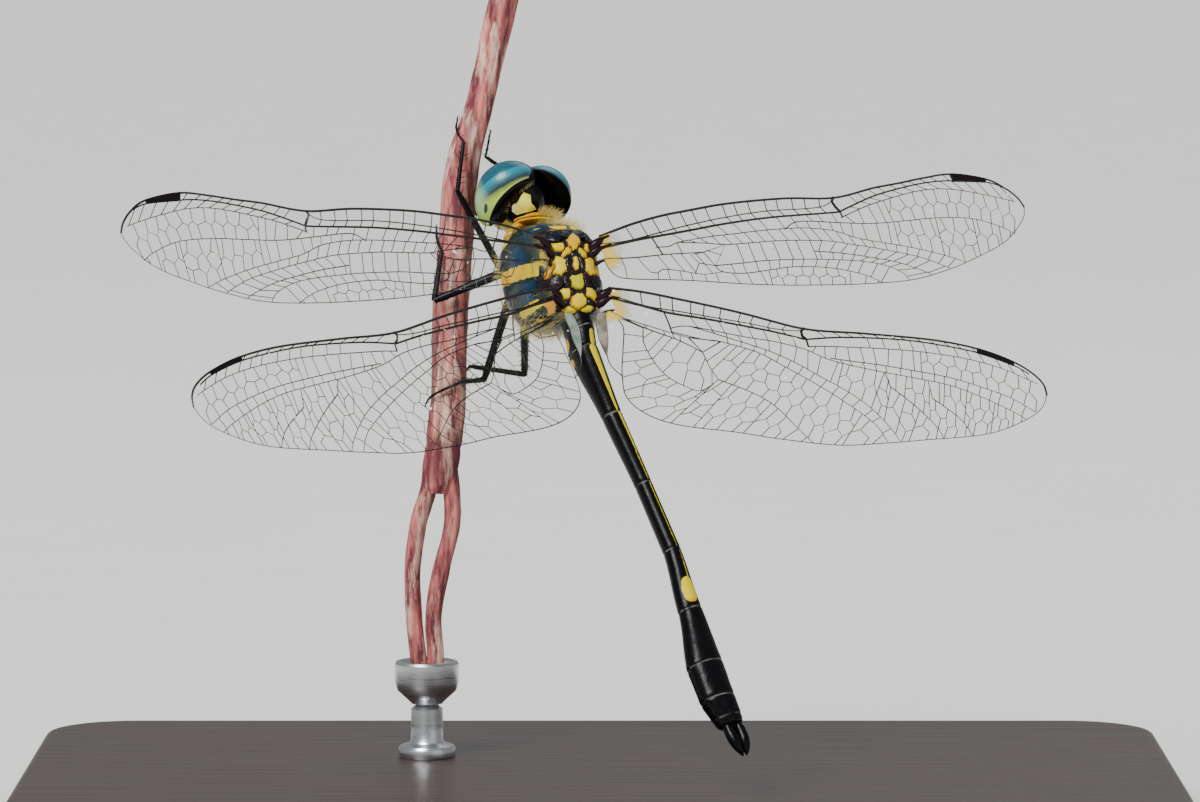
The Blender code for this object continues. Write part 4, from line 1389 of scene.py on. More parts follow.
class DRAGONFLY_OT_abdomen(bpy.types.Operator):
    """The ten rings of the abdomen with their marks, and the tail pieces"""

    bl_idname = "dragonfly.abdomen"
    bl_label = "Abdomen"

    def execute(self, context):
        look = context.scene.dragonfly_colours
        first, last = ABDOMEN_JOINTS[0][0] - 0.35, ABDOMEN_JOINTS[-1][0]
        joints = [row[0] for row in ABDOMEN_JOINTS[1:-1]]

        def skin(around, along):
            back = first + (last - first) * along
            wide, high, shift = abdomen_row(max(back, ABDOMEN_JOINTS[0][0]))
            x, z = on_ring(around - pi / 2, wide, high, 1.05)
            ring = sum(bell(back - joint, 0.07) for joint in joints)
            lip = sum(bell(back - joint + 0.22, 0.13) for joint in joints)
            angle = atan2(x, z)
            keel = 0.03 * bell(angle, 0.22)
            fold = 0.05 * bell(abs(angle) - 1.95, 0.12)
            grain = 0.008 * noise.noise(Vector((x, back, z)) * 3)
            grow = 1.0 - 0.035 * ring + 0.012 * lip + keel - fold + grain
            tail = min(1.0, 0.55 + (last - back) * 1.4)
            return Vector((shift + x * grow * tail, -back, z * grow * tail))

        mesh = sleeve(56, 360, skin)

        def yellow_mark(co):
            back = -co.y
            shift = abdomen_row(back)[2]
            best = -1.0
            if co.z > 0.0:
                for start, end, wide_a, wide_b, aside in BACK_MARKS:
                    part = clamp((back - start) / (end - start))
                    wide = wide_a + (wide_b - wide_a) * part
                    off = hypot(co.x - shift - aside, max(start - back, back - end, 0.0))
                    best = max(best, wide - off)
            for middle, long, low in ((1.7, 0.42, -0.25), (2.75, 0.22, -0.3)):
                off = hypot((back - middle) / long, (co.z - low) / 0.26)
                best = max(best, (1.0 - off) * 0.2)
            return best + 0.02 * noise.noise(co * 6.0)

        def warm_end(co):
            return bell(co.y + 18.25, 0.22) + (0.7 if co.y > -3.2 and co.z < 0.2 else 0.0)

        shell = shell_finish("abdomen_shell", look.shell, 0.28)
        base = base_tone(shell)
        paint = mixed(shell, ranged(shell, field(shell, "warm"), 0.2, 0.9), look.yellow, look.orange)
        mark = ranged(shell, field(shell, "mark"), -0.012, 0.018)
        worn = product(shell, ranged(shell, field(shell, "joint"), 0.45, 0.95, 0.0, 0.36),
                       ranged(shell, speckle(shell, 1.6, 3.0), 0.42, 0.6))
        base = mixed(shell, worn, base, (0.42, 0.40, 0.34))
        colour_by(shell, mark, base, paint)

        def joint_line(co):
            return max(bell(co.y + joint, 0.07) for joint in joints) if co.z > 0.1 else 0.0

        keep(
            "abdomen_rings", mesh, ABDOMEN,
            [f"abdomen_{number:02d}" for number in range(1, 11)], [shell],
            {"mark": yellow_mark, "warm": warm_end, "joint": joint_line},
        )

        back, *_, aside = ABDOMEN_JOINTS[-1]
        lines = [
            tapered([(aside + side * x, -back + y, z, radius) for x, y, z, radius in rows], 0.08)
            for side, rows in ((-1, SIDE_TAIL), (1, SIDE_TAIL), (1, MIDDLE_TAIL))
        ]
        keep(
            "tail_pieces", pipes(lines, 4), ABDOMEN,
            ["cercus_left", "cercus_right", "epiproct"], [shell_finish("tail_shell", look.shell, 0.25)],
        )
        return {"FINISHED"}


# ---------------------------------------------------------------- legs


def beside_stem(height, around, clear):
    """A point in the table frame beside the stem, at a height y and an angle round it."""
    for (x0, y0), (x1, y1), r0, r1 in zip(STEM, STEM[1:], STEM_RADII, STEM_RADII[1:]):
        if y0 >= height >= y1:
            part = (y0 - height) / (y0 - y1)
            reach = r0 + (r1 - r0) * part + clear
            angle = radians(around)
            x = x0 + (x1 - x0) * part + reach * cos(angle)
            return Vector((x, height, STEM_DEPTH + reach * sin(angle)))
    raise ValueError("the stem has no such height")


def spines(start, end, radius, count, length, chance, rows=2):
    """Stiff hairs along both sides of a length of leg, leaning towards its far end."""
    facing = across(end - start, (0.13, 0.21, 1.0)).to_3x3()
    made = []
    for row in range(rows):
        for step in range(count):
            part = (step + 0.6 + chance.uniform(-0.15, 0.15)) / count
            angle = 2 * pi * row / rows + chance.uniform(-0.35, 0.35) + 0.9
            out = facing @ Vector((cos(angle), sin(angle), 0.0))
            root = start.lerp(end, part) + out * radius * 0.8
            lean = (end - start).normalized() * 0.55
            size = length * chance.uniform(0.75, 1.2)
            tip = root + (out + lean).normalized() * size
            bend = root.lerp(tip, 0.5) + out * size * 0.06
            made.append([(root, 0.022), (bend, 0.015), (tip, 0.003)])
    return made


class DRAGONFLY_OT_legs(bpy.types.Operator):
    """Six black legs with spines, three foot joints and claws, holding the stem"""

    bl_idname = "dragonfly.legs"
    bl_label = "Legs"

    def execute(self, context):
        look = context.scene.dragonfly_colours
        black = shell_finish("leg_shell", toned(look.shell, 1.4), 0.3, 7.0, 0.02)
        chance = random.Random(11)
        to_table = TABLE.inverted() @ THORAX
        for (pair, side), (hip, knee, ankle, foot) in LEGS.items():
            socket = to_table @ Vector((hip[0] * 0.9, hip[1] + 0.25, -5.3))
            hip, knee = to_table @ Vector(hip), Vector(knee)
            ankle_at = beside_stem(*ankle, ANKLE_CLEAR)
            steps = len(FOOT_RADII) - 1
            toes = [
                beside_stem(
                    ankle[0] + (foot[0] - ankle[0]) * step / steps,
                    ankle[1] + (foot[1] - ankle[1]) * step / steps,
                    ANKLE_CLEAR - FOOT_SINK * step / steps,
                )
                for step in range(steps + 1)
            ]
            femur = [hip.lerp(knee, k / 8) for k in range(9)]
            tibia = [knee.lerp(ankle_at, k / 8) for k in range(9)]
            stout = LEG_STOUTNESS[pair]
            lines = [
                [(point, radius * stout) for point, radius in zip(line, radii)]
                for line, radii in ((femur, FEMUR_RADII), (tibia, TIBIA_RADII), (toes, FOOT_RADII))
            ]
            lines.append([
                (socket, 0.45), (socket.lerp(hip, 0.45), 0.50), (socket.lerp(hip, 0.70), 0.40),
                (socket.lerp(hip, 0.80), 0.34 * stout), (socket.lerp(hip, 0.92), 0.40 * stout),
                (hip, 0.34 * stout),
            ])
            whole = pipes(lines, 4)
            thin = spines(femur[0], femur[-1], 0.25 * stout, 12, 0.34, chance, 3)
            thin += spines(tibia[0], tibia[-1], 0.15 * stout, 9, 0.55, chance, 2)
            thin += spines(toes[0], toes[-1], 0.09, 5, 0.16, chance, 2)
            ahead = (toes[-1] - toes[-2]).normalized()
            out = (toes[-1] - beside_stem(foot[0], foot[1], -0.6)).normalized()
            sideways = ahead.cross(out)
            for lean in (-0.35, 0.35):
                along = ahead + sideways * lean
                bend = toes[-1] + along * 0.24 + out * 0.05
                thin.append([(toes[-1], 0.045), (bend, 0.035), (bend + along * 0.1 - out * 0.14, 0.006)])
            merge(whole, pipes(thin))
            keep(
                f"leg_{pair}_{side}", whole, TABLE,
                [f"leg_{pair}_{side}_{part}" for part in ("femur", "tibia", "tarsus")], [black],
            )
        return {"FINISHED"}


# ---------------------------------------------------------------- wings


def wing_place(pair, side):
    """A wing's frame in the thorax frame."""
    root, angles = WINGS[pair]
    raised, twist, sweep = (radians(angle) for angle in angles[side])
    sign = 1 if side == "right" else -1
    out = Vector((sign * cos(raised), 0.0, sin(raised)))
    normal = Vector((-sign * sin(raised), 0.0, cos(raised)))
    back = Vector((0, -1, 0)) * cos(twist) + normal * sin(twist)
    span = out * cos(sweep) + back * sin(sweep)
    chord = back * cos(sweep) - out * sin(sweep)
    up = chord.cross(span) if sign > 0 else span.cross(chord)
    attitude = Matrix((span, chord, up)).transposed().to_4x4()
    return Matrix.Translation((sign * root[0], root[1], root[2])) @ attitude


def lift(pair, edge):
    """The height of a wing's pleats over its plane, at a point."""
    def height(u, v):
        index = min(max(int(u / 26.0 * (len(edge) - 1)), 0), len(edge) - 1)
        depth = v - edge[index].y
        pleat = 0.11 * cos(depth * 2 * pi / 1.25) * exp(-max(depth, 0.0) / 1.5) * (1.0 - u / 34.0)
        swell = 0.05 * noise.noise(Vector((u * 0.3, v * 0.5, 1.0 if pair == "fore" else 5.0)))
        return pleat + swell
    return height


def raised(point, height):
    """A point of a wing's plane, moved to the height of the wing there."""
    return Vector((point.x, point.y, height(point.x, point.y)))


def between(front, rear):
    """The points between two lines, as a function of the share along and the depth across."""
    return lambda share, depth: at_share(front, share).lerp(at_share(rear, share), depth)


def joined(*parts):
    """Lines of points end to end, as one line of evenly spaced points."""
    return even([Vector(point) for part in parts for point in part], 80)


class Net:
    """The veins of one wing, as lines of points in its plane, each with a radius."""

    def __init__(self, veins, fine, seed):
        self.curves = {name: curved(points, 0.2) for name, points in veins.items()}
        self.fine = fine
        self.lines = []
        self.chance = random.Random(seed)
        for name, line in self.curves.items():
            radius = THICK_VEINS.get(name, LONG_VEIN)
            self.lines.append([
                (point, radius * (1.0 - 0.30 * index / len(line))) for index, point in enumerate(line)
            ])

    def part(self, name, start, end):
        """The part of a vein between the places nearest to two points."""
        line = self.curves[name]
        first, last = (
            min(range(len(line)), key=lambda k: (line[k] - Vector(point)).length) for point in (start, end)
        )
        return even(line[first:last + 1], 80)

    def rungs(self, lines, count, lean=0.0, thick=1.0):
        """Cross veins over two or more lines of points."""
        for step in range(count):
            share = (step + 0.5) / count + self.chance.uniform(-0.14, 0.14) / count
            points = [at_share(line, share + lean * k / count) for k, line in enumerate(lines)]
            if (points[0] - points[-1]).length > 0.12:
                self.lines.append([(point, self.fine * thick) for point in points])

    def cells(self, front, rear, high, long, most=5):
        """Fill the space between two lines with rows of cells, as many rows as it is wide."""
        def rows_at(k):
            gap = (at_share(rear, k / 60) - at_share(front, k / 60)).length
            return min(max(1, round(gap / high)), most)

        length = max(sum((b - a).length for a, b in zip(line, line[1:])) for line in (front, rear))
        start = 0
        while start < 60:
            rows = rows_at(start)
            end = start + 1
            while end < 60 and (rows_at(end) == rows or (end - start) * length / 60 < long):
                end += 1
            if (60 - end) * length / 60 < long:
                end = 60
            self.block(front, rear, start / 60, end / 60, rows, length * (end - start) / 60, long)
            start = end

    def block(self, front, rear, first, last, rows, length, long):
        """Rows of cells with bent walls, between two shares of the lines."""
        count = max(1, round(length / long))
        stray = self.chance.uniform
        joints = []
        for row in range(rows + 1):
            steps = []
            for step in range(2 * count + 1):
                share = first + (last - first) * step / (2 * count)
                depth = row / rows
                if 0 < row < rows:
                    depth += ((0.16 if (step + row) % 2 else -0.16) + stray(-0.11, 0.11)) / rows
                if 0 < step < 2 * count:
                    share += stray(-0.32, 0.32) * (last - first) / (2 * count)
                steps.append(at_share(front, share).lerp(at_share(rear, share), depth))
            joints.append(steps)
        for row in range(1, rows):
            self.lines.append([(point, self.fine) for point in joints[row]])
        for row in range(rows):
            for step in range(2 * count + 1):
                if (step + row) % 2 or (first > 0 and step == 0 and rows > 1):
                    wall = (joints[row][step], joints[row + 1][step])
                    if (wall[0] - wall[1]).length > 0.15:
                        self.lines.append([(point, self.fine) for point in wall])

    def draw(self, radius, *points):
        """One short vein."""
        self.lines.append([(Vector(point), radius) for point in points])


def fore_net(fine):
    """The veins of a fore wing."""
    net = Net(FORE_VEINS, fine, 3)
    part = net.part
    net.rungs(
        [part("front", (1.3, -0.8), (13.9, -1.8)), part("second", (1.4, -0.1), (13.7, -1.4)),
         part("main", (1.5, 0.0), (13.9, -0.9))], 15, 0.12, 1.3)
    net.rungs([part("main", (3.9, -0.2), (12.0, -0.9)), part("sector", (4.2, 0.35), (12.0, -0.1))], 9, 0.3)
    net.rungs([part("main", (12.2, -0.9), (14.4, -0.9)), part("fan_front", (12.4, -0.4), (14.4, -0.2))], 3)
    net.rungs([part("fan_front", (12.0, -0.4), (14.6, -0.2)), part("sector", (12.2, 0), (14.6, 0.6))], 4)
    net.rungs(
        [part("front", (14.9, -1.8), (21.6, -2.7)), part("main_out", (15.0, -1.1), (21.6, -2.3))], 10, 0.5)
    net.rungs(
        [part("main_out", (14.8, -1), (24.9, -1.6)), part("branch", (15.2, -0.8), (25.2, -0.7))], 14, 0.3)
    net.cells(
        part("branch", (14.6, -0.5), (25.3, -0.7)), part("fan_front", (14.8, -0.2), (24.7, 1.3)), 0.95, 0.72)
    tip = joined(part("sector", (14.6, 0.6), (21.2, 2.85)), part("rear", (21.6, 2.8), (24.6, 1.3)))
    net.cells(part("fan_front", (14.6, -0.2), (24.7, 1.3)), tip, 0.95, 0.74)
    net.rungs([part("sector", (4.9, 0.2), (13.0, 0.0)), part("median", (4.9, 0.3), (13.0, 0.8))], 12, 0.5)
    net.rungs([part("sector", (13.0, 0.0), (21.1, 2.8)), part("median", (13.2, 0.9), (20.2, 3.1))], 12, 0.3)
    net.rungs(
        [part("median", (7.4, 0.63), (12.6, 0.8)), part("third", (7.2, 1.9), (12.5, 2.0))], 7, 0.45, 1.1)
    net.cells(part("median", (12.6, 0.8), (20.2, 3.2)), part("between", (12.4, 1.45), (19.0, 3.4)), 1.1, 0.7)
    net.cells(part("between", (12.4, 1.45), (19.0, 3.4)), part("third", (12.4, 2), (17.6, 3.6)), 1.1, 0.72)
    net.rungs([part("third", (6.9, 1.9), (17.0, 3)), part("fourth", (6.8, 2.3), (16.0, 3.7))], 14, 0.3)
    net.cells(part("fourth", (6.8, 2.35), (16.0, 3.75)), part("rear", (6.9, 3), (15.9, 3.7)), 0.62, 0.78)
    net.rungs([part("stem", (2.6, 1.0), (5.6, 1.0)), part("rung_row", (2.9, 1.9), (6.3, 2.3))], 4, 0.2)
    net.rungs([part("rung_row", (2.4, 2), (6.6, 2.3)), part("rear", (2.3, 2.4), (6.6, 3.0))], 6, 0.1)
    net.draw(fine, (0.9, 1.0), (1.0, 1.6), (0.95, 2.2))
    net.draw(fine, (1.9, 1.0), (2.1, 1.5), (2.4, 1.95))
    net.draw(0.034, (5.8, 1.0), (7.2, 0.63), (6.3, 1.88), (5.8, 1.0))
    net.draw(0.030, (5.8, 1.0), (5.0, 1.12), (5.4, 1.64), (6.3, 1.88))
    net.draw(0.028, (5.4, 1.64), (5.0, 2.25))
    net.draw(0.026, (6.0, 0.9), (6.85, 1.25))
    net.draw(0.048, (3.0, -0.1), (3.2, 0.4), (3.4, 0.95))
    net.draw(0.030, (4.4, 0.25), (4.55, 0.98))
    net.draw(0.085, (14.35, -1.8), (14.2, -1.55), (14.35, -1.25), (14.55, -0.88))
    net.draw(0.060, (14.55, -0.88), (14.6, -0.5))
    return net


def hind_net(fine):
    """The veins of a hind wing."""
    net = Net(HIND_VEINS, fine, 8)
    part = net.part
    net.rungs(
        [part("front", (1.2, -0.2), (10.2, 2.1)), part("second", (1.3, 0.5), (10.0, 2.3)),
         part("main", (1.4, 0.6), (10.1, 2.6))], 10, 0.0, 1.3)
    net.rungs([part("main", (4.0, 1.3), (10.4, 2.8)), part("sector", (4.2, 2), (10.4, 3.4))], 8, 0.2)
    net.rungs(
        [part("front", (11.0, 2.2), (20.4, 3.5)), part("main_out", (11.2, 2.8), (20.4, 3.7))], 12, 0.4)
    net.rungs(
        [part("main_out", (13.8, 2.7), (23.2, 5)), part("branch", (13.8, 3.4), (23.4, 5.5))], 12, 0.2)
    net.cells(part("branch", (12.0, 3.3), (23.7, 5.7)), part("fan_front", (12.0, 4), (23.3, 7.4)), 0.85, 0.76)
    net.rungs([part("branch", (10.9, 3.3), (12.0, 3.3)), part("sector", (10.7, 3.5), (12, 4.1))], 2)
    net.rungs(
        [part("fan_front", (12.2, 4), (23.0, 7.2)), part("sector", (12.3, 4.3), (22.6, 7.8))], 17, 0.2)
    net.cells(
        joined(part("sector", (5.0, 2.1), (15.1, 5)), part("fan_a", (15.2, 5.8), (17.8, 9))),
        joined(part("median", (5.2, 2.3), (15.3, 9.2)), part("rear", (15.4, 9.2), (17.7, 9))), 0.95, 0.78)
    net.draw(0.030, (15.0, 4.95), (15.2, 5.8))
    net.cells(
        joined(part("sector", (15.2, 5), (17.3, 5.5)), part("fan_b", (17.5, 6.5), (19.5, 8.9))),
        joined(part("fan_a", (15.2, 5.8), (17.8, 9)), part("rear", (17.9, 9), (19.4, 8.9))), 0.85, 0.72)
    net.draw(0.028, (17.4, 5.5), (17.5, 6.55))
    net.cells(
        part("sector", (17.6, 5.5), (22.7, 7.9)),
        joined(part("fan_b", (17.5, 6.5), (19.5, 8.9)), part("rear", (19.6, 8.9), (22.6, 8))), 0.80, 0.66)
    net.rungs([part("median", (5.9, 2.6), (15.0, 8.7)), part("between", (5.9, 3), (14.4, 8.9))], 15, 0.1)
    net.cells(
        part("between", (5.9, 2.96), (14.6, 9.25)),
        joined(part("loop_front", (4.9, 3.8), (5.5, 5.3)), part("third", (5.5, 5.3), (10.4, 9.3)),
               part("rear", (10.5, 9.3), (14.4, 9.3))), 0.98, 0.88)
    net.cells(
        joined(part("loop", (1.6, 2.1), (5.5, 5.3)), part("third", (5.6, 5.4), (10.4, 9.3))),
        part("rear", (0.5, 1.9), (10.3, 9.3)), 1.05, 0.95)
    net.cells(
        joined(part("stem", (1.8, 2.2), (4.8, 3.6)), part("loop_front", (4.8, 3.6), (5.5, 5.3))),
        part("loop", (1.6, 2.3), (5.5, 5.3)), 1.2, 1.0)
    net.rungs([part("above", (1.2, 1.7), (4.0, 2.7)), part("stem", (1.4, 2), (3.9, 3.1))], 3)
    net.draw(0.040, (4.1, 2.72), (4.8, 3.6), (5.9, 2.96))
    net.draw(0.034, (4.1, 2.72), (5.9, 2.96))
    net.draw(0.048, (2.9, 1.1), (3.1, 1.8), (3.2, 2.35))
    net.draw(0.030, (3.2, 2.35), (3.3, 2.75))
    net.draw(0.080, (10.75, 2.15), (10.55, 2.35), (10.6, 2.6), (10.8, 2.8))
    net.draw(0.060, (10.8, 2.8), (10.85, 3.3))
    net.draw(0.030, (0.45, 1.5), (1.6, 2.1))
    return net


def hinge_lines(pair):
    """The stout roots of a wing's front, middle and rear veins."""
    front, middle = (-0.50, 0.10) if pair == "fore" else (-0.32, 0.24)
    return [
        [((-0.66, 0.14, -0.40), 0.20), ((-0.38, -0.04, -0.18), 0.30), ((-0.05, -0.22, 0.0), 0.20),
         ((0.12, -0.32, 0.04), 0.11), ((0.50, front + 0.08, 0.09), 0.065)],
        [((-0.74, 0.50, -0.45), 0.18), ((-0.50, 0.38, -0.28), 0.26), ((-0.18, 0.26, -0.08), 0.17),
         ((0.05, 0.20, 0.0), 0.08), ((0.50, middle, 0.06), 0.06)],
        [((-0.50, 1.02, -0.45), 0.12), ((-0.25, 0.98, -0.18), 0.10), ((0.15, 0.96, 0.0), 0.05)],
    ]


def film_finish(look):
    """Clear membrane with a thin film's colours, waves, white specks and a stain at the root."""
    film = finish(
        "clear_membrane", Base_Color=look.membrane, Roughness=0.14, Specular_IOR_Level=0.5,
        Thin_Film_Thickness=340.0, Thin_Film_IOR=1.5, Alpha=0.06,
    )
    stain = ranged(film, field(film, "stain"), 0.0, 1.0)
    dirt = ranged(film, speckle(film, 2.6, 2.0, 0.4), 0.725, 0.76)
    tone = mixed(film, stain, look.membrane, look.amber)
    colour_by(film, dirt, tone, (0.95, 0.95, 0.92))
    clear = ranged(film, speckle(film, 0.35, 2.0), 0.3, 0.7, 0.006, 0.03)
    opaque = total(film, product(film, stain, 0.6), clear)
    drive(film, "Alpha", total(film, opaque, product(film, dirt, 0.6)))
    waves = total(film, speckle(film, 0.8, 2.0), product(film, speckle(film, 3.5, 3.0), 0.35))
    bump(film, waves, 0.05, 0.7)
    return film


def cloudy_finish(name, clear, cloud, **sockets):
    """A thin lobe, clouded from one colour to another."""
    made = finish(name, **sockets)
    clouds = ranged(made, speckle(made, 1.4, 3.0), 0.35, 0.65)
    colour_by(made, clouds, clear, cloud)
    return made


class DRAGONFLY_OT_wings(bpy.types.Operator):
    """Four clear wings: membrane, veins, hinges, dark spots at the tips and stained roots"""

    bl_idname = "dragonfly.wings"
    bl_label = "Wings"

    def execute(self, context):
        look = context.scene.dragonfly_colours
        sizes = context.scene.dragonfly_sizes
        film = film_finish(look)
        vein = finish("vein_brown", Base_Color=look.vein, Roughness=0.45, Specular_IOR_Level=0.35)
        tint = ranged(vein, speckle(vein, 1.5, 3.0), 0.35, 0.7)
        colour_by(vein, tint, look.vein, toned(look.vein, 2.0))
        spot = finish("wing_spot", Base_Color=(0.003, 0.003, 0.006), Roughness=0.42, Specular_IOR_Level=0.1)
        ribbed = speckle(spot, 3.0, 3.0)
        colour_by(spot, ribbed, (0.002, 0.002, 0.004), (0.012, 0.006, 0.009))
        lobes = {
            # The left lobe's pale pearly greens are a painted sheen; the right lobe keeps its grey-brown.
            "left": cloudy_finish(
                "painted_sheen_lobe", (0.30, 0.42, 0.30), (0.62, 0.66, 0.60),
                Base_Color=(0.42, 0.50, 0.40), Roughness=0.25, Alpha=0.35,
            ),
            "right": cloudy_finish(
                "root_lobe", (0.10, 0.075, 0.06), (0.30, 0.27, 0.22),
                Base_Color=(0.17, 0.14, 0.11), Roughness=0.35, Alpha=0.86,
            ),
        }
        hinges = shell_finish("hinge_shell", look.hinge, 0.2)

        for pair, net in (("fore", fore_net(sizes.vein)), ("hind", hind_net(sizes.vein))):
            front, rear = net.curves["front"], net.curves["rear"]
            height = lift(pair, front)
            lines = [[(raised(point, height), radius) for point, radius in line] for line in net.lines]
            wing_point = between(front, rear)
            first, last = SPOT_AT[pair]
            spot_point = between(
                even(stretch(front, first, last), 20), even(stretch(net.curves["main_out"], first, last), 20)
            )
            for side in ("left", "right"):
                def stain_and_edge_shade(co, side=side):
                    spread = 1.5 - co.x / 0.75 + 0.5 * noise.noise(co * 2.2)
                    kept_in = clamp((1.75 - co.y) / 0.4)
                    return spread * kept_in * STAIN_STRENGTH[side]

                place = THORAX @ wing_place(pair, side)
                veins = lines
                if pair == "hind":
                    outer, inner, fillet = (
                        [Vector((x, y, height(max(x, 0.0), y))) for x, y in curved(corners, 0.1)]
                        for corners in ROOT_LOBE
                    )
                    wing_edge = [raised(point, height) for point in net.part("rear", (0.4, 1.7), (0.1, 5.0))]
                    for name, shape, skin, fields in (
                        ("lobe", between(outer, inner), lobes[side], None),
                        ("fillet", between(fillet, wing_edge), film, {"stain": stain_and_edge_shade}),
                    ):
                        mesh = patch(40, 6, shape)
                        weld(mesh)
                        bmesh.ops.solidify(mesh, geom=mesh.faces[:], thickness=LOBE_THICKNESS)
                        keep(f"root_{name}_{side}", mesh, place, [], [skin], fields)
                    veins = lines + [[(point, 0.03) for point in line] for line in (outer, fillet)]
                mesh = patch(120, 28, lambda share, depth: raised(wing_point(share, depth), height))
                weld(mesh)
                bmesh.ops.recalc_face_normals(mesh, faces=mesh.faces)
                bmesh.ops.solidify(mesh, geom=mesh.faces[:], thickness=sizes.membrane)
                keep(
                    f"membrane_{pair}_{side}", mesh, place, [f"wing_{pair}_{side}"],
                    [film], {"stain": stain_and_edge_shade},
                )
                keep(f"veins_{pair}_{side}", pipes(veins), place, [], [vein])
                keep(f"hinge_{pair}_{side}", pipes(hinge_lines(pair), 5), place, [], [hinges])

                mesh = patch(
                    20, 6, lambda share, depth: raised(spot_point(share, depth * 1.12 - 0.06), height)
                )
                bmesh.ops.solidify(mesh, geom=mesh.faces[:], thickness=SPOT_THICKNESS)
                off = sum(vert.co.z - height(vert.co.x, vert.co.y) for vert in mesh.verts) / len(mesh.verts)
                bmesh.ops.translate(mesh, vec=(0.0, 0.0, -off), verts=mesh.verts)
                keep(f"wing_spot_{pair}_{side}", mesh, place, [], [spot])
        return {"FINISHED"}


# ---------------------------------------------------------------- hair

# How many short hairs the collar and the fringe have, and how long they are.
COLLAR_HAIRS, COLLAR_HAIR_LENGTH = 220, 0.66
FRINGE_HAIRS, FRINGE_HAIR_LENGTH = 380, 0.30


def coat(name, hairs, place, finishes):
    """A coat of tapered hairs, with an OFBake map that gives each a patch at its root's place."""
    mesh = pipes([line for line, _ in hairs])
    layer = mesh.loops.layers.uv.new("OFBake")
    per_hair = len(mesh.verts) // len(hairs)
    if per_hair * len(hairs) != len(mesh.verts):
        raise ValueError("the hairs have unequal point counts")
    for face in mesh.faces:
        for loop in face.loops:
            index, knot = divmod(loop.vert.index, per_hair)
            u, v = hairs[index][1]
            loop[layer].uv = (u + 0.003 * (knot % 4) / 4, v + 0.003 * (knot // 4) / 4)
    return keep(name, mesh, place, [], finishes)


def tuft(root, out, length, sway, chance, thick=0.013):
    """One hair: a root, a bend and a tip, leaning a random way off its outward direction."""
    stray = Vector([chance.uniform(-1, 1) for _ in range(3)]) * sway
    tip = root + (out + stray).normalized() * length
    bend = root.lerp(tip, 0.5) + out * 0.05 * length + stray * 0.05 * length
    return [(root - out * 0.03, thick), (bend, thick * 0.75), (tip, 0.002)]


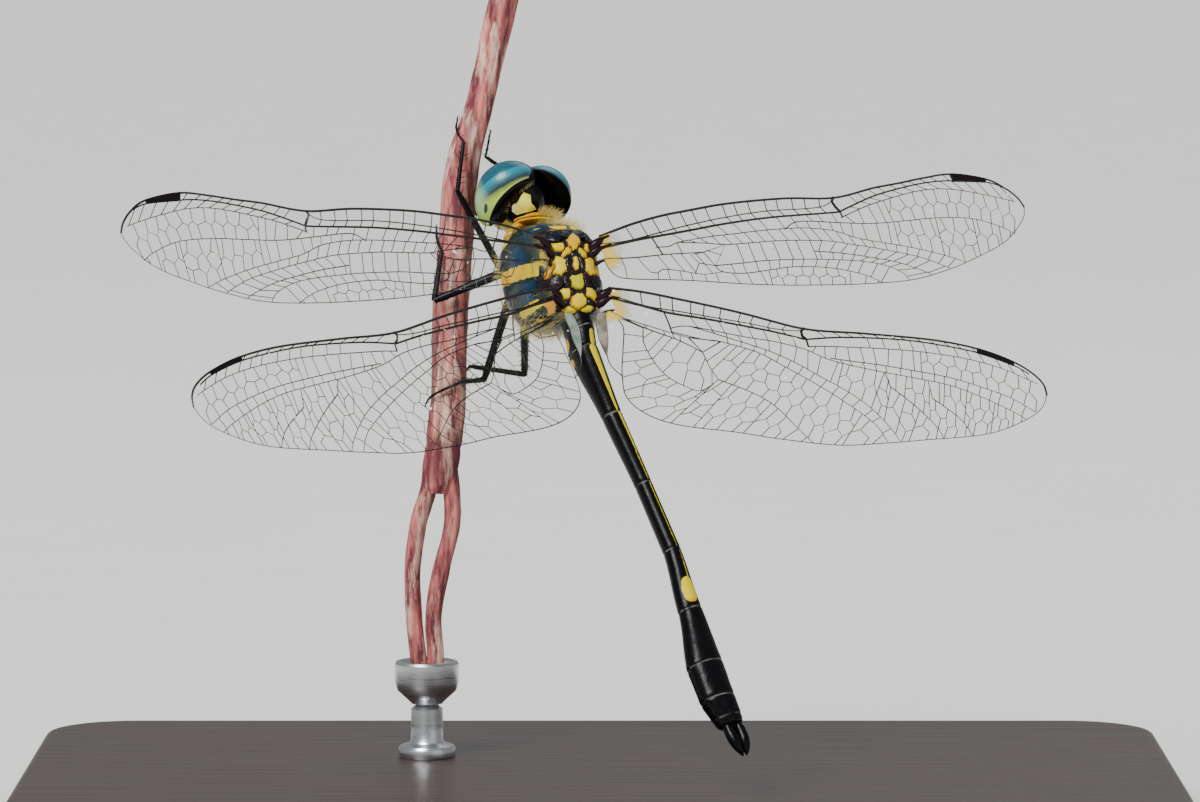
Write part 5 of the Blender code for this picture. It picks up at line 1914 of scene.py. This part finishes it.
class DRAGONFLY_OT_hair(bpy.types.Operator):
    """Fine pale hair of the thorax and collar, and the brown fringe on the nape's left edge"""

    bl_idname = "dragonfly.hair"
    bl_label = "Hair"

    def execute(self, context):
        look = context.scene.dragonfly_colours
        sizes = context.scene.dragonfly_sizes
        pale = finish("pale_hair", Base_Color=look.hair, Roughness=0.5, Subsurface_Weight=0.2,
                      Subsurface_Scale=0.1 * MM)
        tint = ranged(pale, speckle(pale, 1.2, 2.0), 0.35, 0.65)
        colour_by(pale, tint, look.hair, toned(look.hair, 0.7))
        chance = random.Random(5)
        hairs = []
        while len(hairs) < sizes.hair_count:
            along, around = chance.random(), chance.random() * 2 * pi
            y, wide, high, middle = along_rows(THORAX_ROWS, along)
            x, z = on_ring(around - pi / 2, wide, high, THORAX_SQUARE)
            top = z / high
            crest = y > 1.6 and x > -0.3 and top > 0.1
            if crest:
                likely = 0.85
            elif y > 1.75:
                likely = 0.30 if x > 0 else 0.04
            elif top < -0.6:
                likely = 0.8
            elif top < 0.35:
                likely = 0.02 if y > -2.5 else 0.55
            elif top < 0.72:
                likely = 0.02 if y > -3.0 else 0.2
            else:
                likely = 0.0
            if chance.random() > likely:
                continue
            out = Vector((x / wide**2, 0.35 if crest else 0.12 * y, z / high**2)).normalized()
            length = sizes.hair_length * chance.uniform(0.55, 1.1) * (1.25 if crest else 1.0)
            hairs.append((
                tuft(Vector((x, y, middle + z)), out, length, 0.42, chance, 0.008),
                (0.01 + 0.97 * around / (2 * pi), 0.01 + 0.97 * along),
            ))
        coat("thorax_hair", hairs, THORAX, [pale])

        hairs = []
        for _ in range(COLLAR_HAIRS):
            along, around = chance.uniform(0.1, 0.6), chance.uniform(-0.15, 0.55) * pi
            y, wide, high, middle = along_rows(COLLAR_ROWS, along)
            x, z = on_ring(around, wide, high)
            out = Vector((x / wide, 0.5, z / high * 1.5)).normalized()
            length = COLLAR_HAIR_LENGTH * chance.uniform(0.55, 1.1)
            hairs.append((
                tuft(Vector((x, y, middle + z)), out, length, 0.26, chance, 0.007),
                (0.5 + 0.45 * around / (2 * pi), 0.05 + 0.9 * along),
            ))
        coat("collar_hair", hairs, THORAX, [pale])

        brown = finish("brown_fringe", Base_Color=(0.34, 0.26, 0.11), Roughness=0.55)
        tint = ranged(brown, speckle(brown, 5.0, 2.0), 0.4, 0.6)
        colour_by(brown, tint, (0.20, 0.14, 0.06), (0.52, 0.42, 0.20))
        hairs = []
        line = curved(FRINGE_LINE, 0.05)
        for _ in range(FRINGE_HAIRS):
            share = chance.random()
            root = at_share(line, share) + Vector([chance.uniform(-0.05, 0.05) for _ in range(3)])
            out = Vector((root.x - NAPE_AT[0] - 0.2, -0.55, (root.z - NAPE_AT[2]) * 0.9 + 0.1)).normalized()
            hairs.append((
                tuft(root, out, FRINGE_HAIR_LENGTH * chance.uniform(0.6, 1.1), 0.18, chance, 0.011),
                (0.1 + 0.8 * share, 0.3 + 0.4 * chance.random()),
            ))
        coat("nape_fringe", hairs, HEAD, [brown])
        return {"FINISHED"}


# ---------------------------------------------------------------- add-on

STEPS = (
    DRAGONFLY_OT_stage,
    DRAGONFLY_OT_stand,
    DRAGONFLY_OT_perch,
    DRAGONFLY_OT_thorax,
    DRAGONFLY_OT_head,
    DRAGONFLY_OT_abdomen,
    DRAGONFLY_OT_legs,
    DRAGONFLY_OT_wings,
    DRAGONFLY_OT_hair,
)


class DRAGONFLY_PT_panel(bpy.types.Panel):
    """Lists the steps that build the model, with its sizes and colours"""

    bl_idname = "DRAGONFLY_PT_panel"
    bl_label = "Dragonfly"
    bl_space_type = "VIEW_3D"
    bl_region_type = "UI"
    bl_category = "Dragonfly"

    def draw(self, context):
        for step in STEPS:
            self.layout.operator(step.bl_idname)
        for settings in (context.scene.dragonfly_sizes, context.scene.dragonfly_colours):
            for name in settings.__annotations__:
                self.layout.prop(settings, name)


CLASSES = (DragonflyColours, DragonflySizes, *STEPS, DRAGONFLY_PT_panel)


def register():
    for made in CLASSES:
        bpy.utils.register_class(made)
    bpy.types.Scene.dragonfly_colours = PointerProperty(type=DragonflyColours)
    bpy.types.Scene.dragonfly_sizes = PointerProperty(type=DragonflySizes)


def unregister():
    del bpy.types.Scene.dragonfly_sizes
    del bpy.types.Scene.dragonfly_colours
    for made in reversed(CLASSES):
        bpy.utils.unregister_class(made)


def main():
    register()
    for step in STEPS:
        getattr(bpy.ops.dragonfly, step.bl_idname.split(".")[1])()


if __name__ == "__main__":
    main()
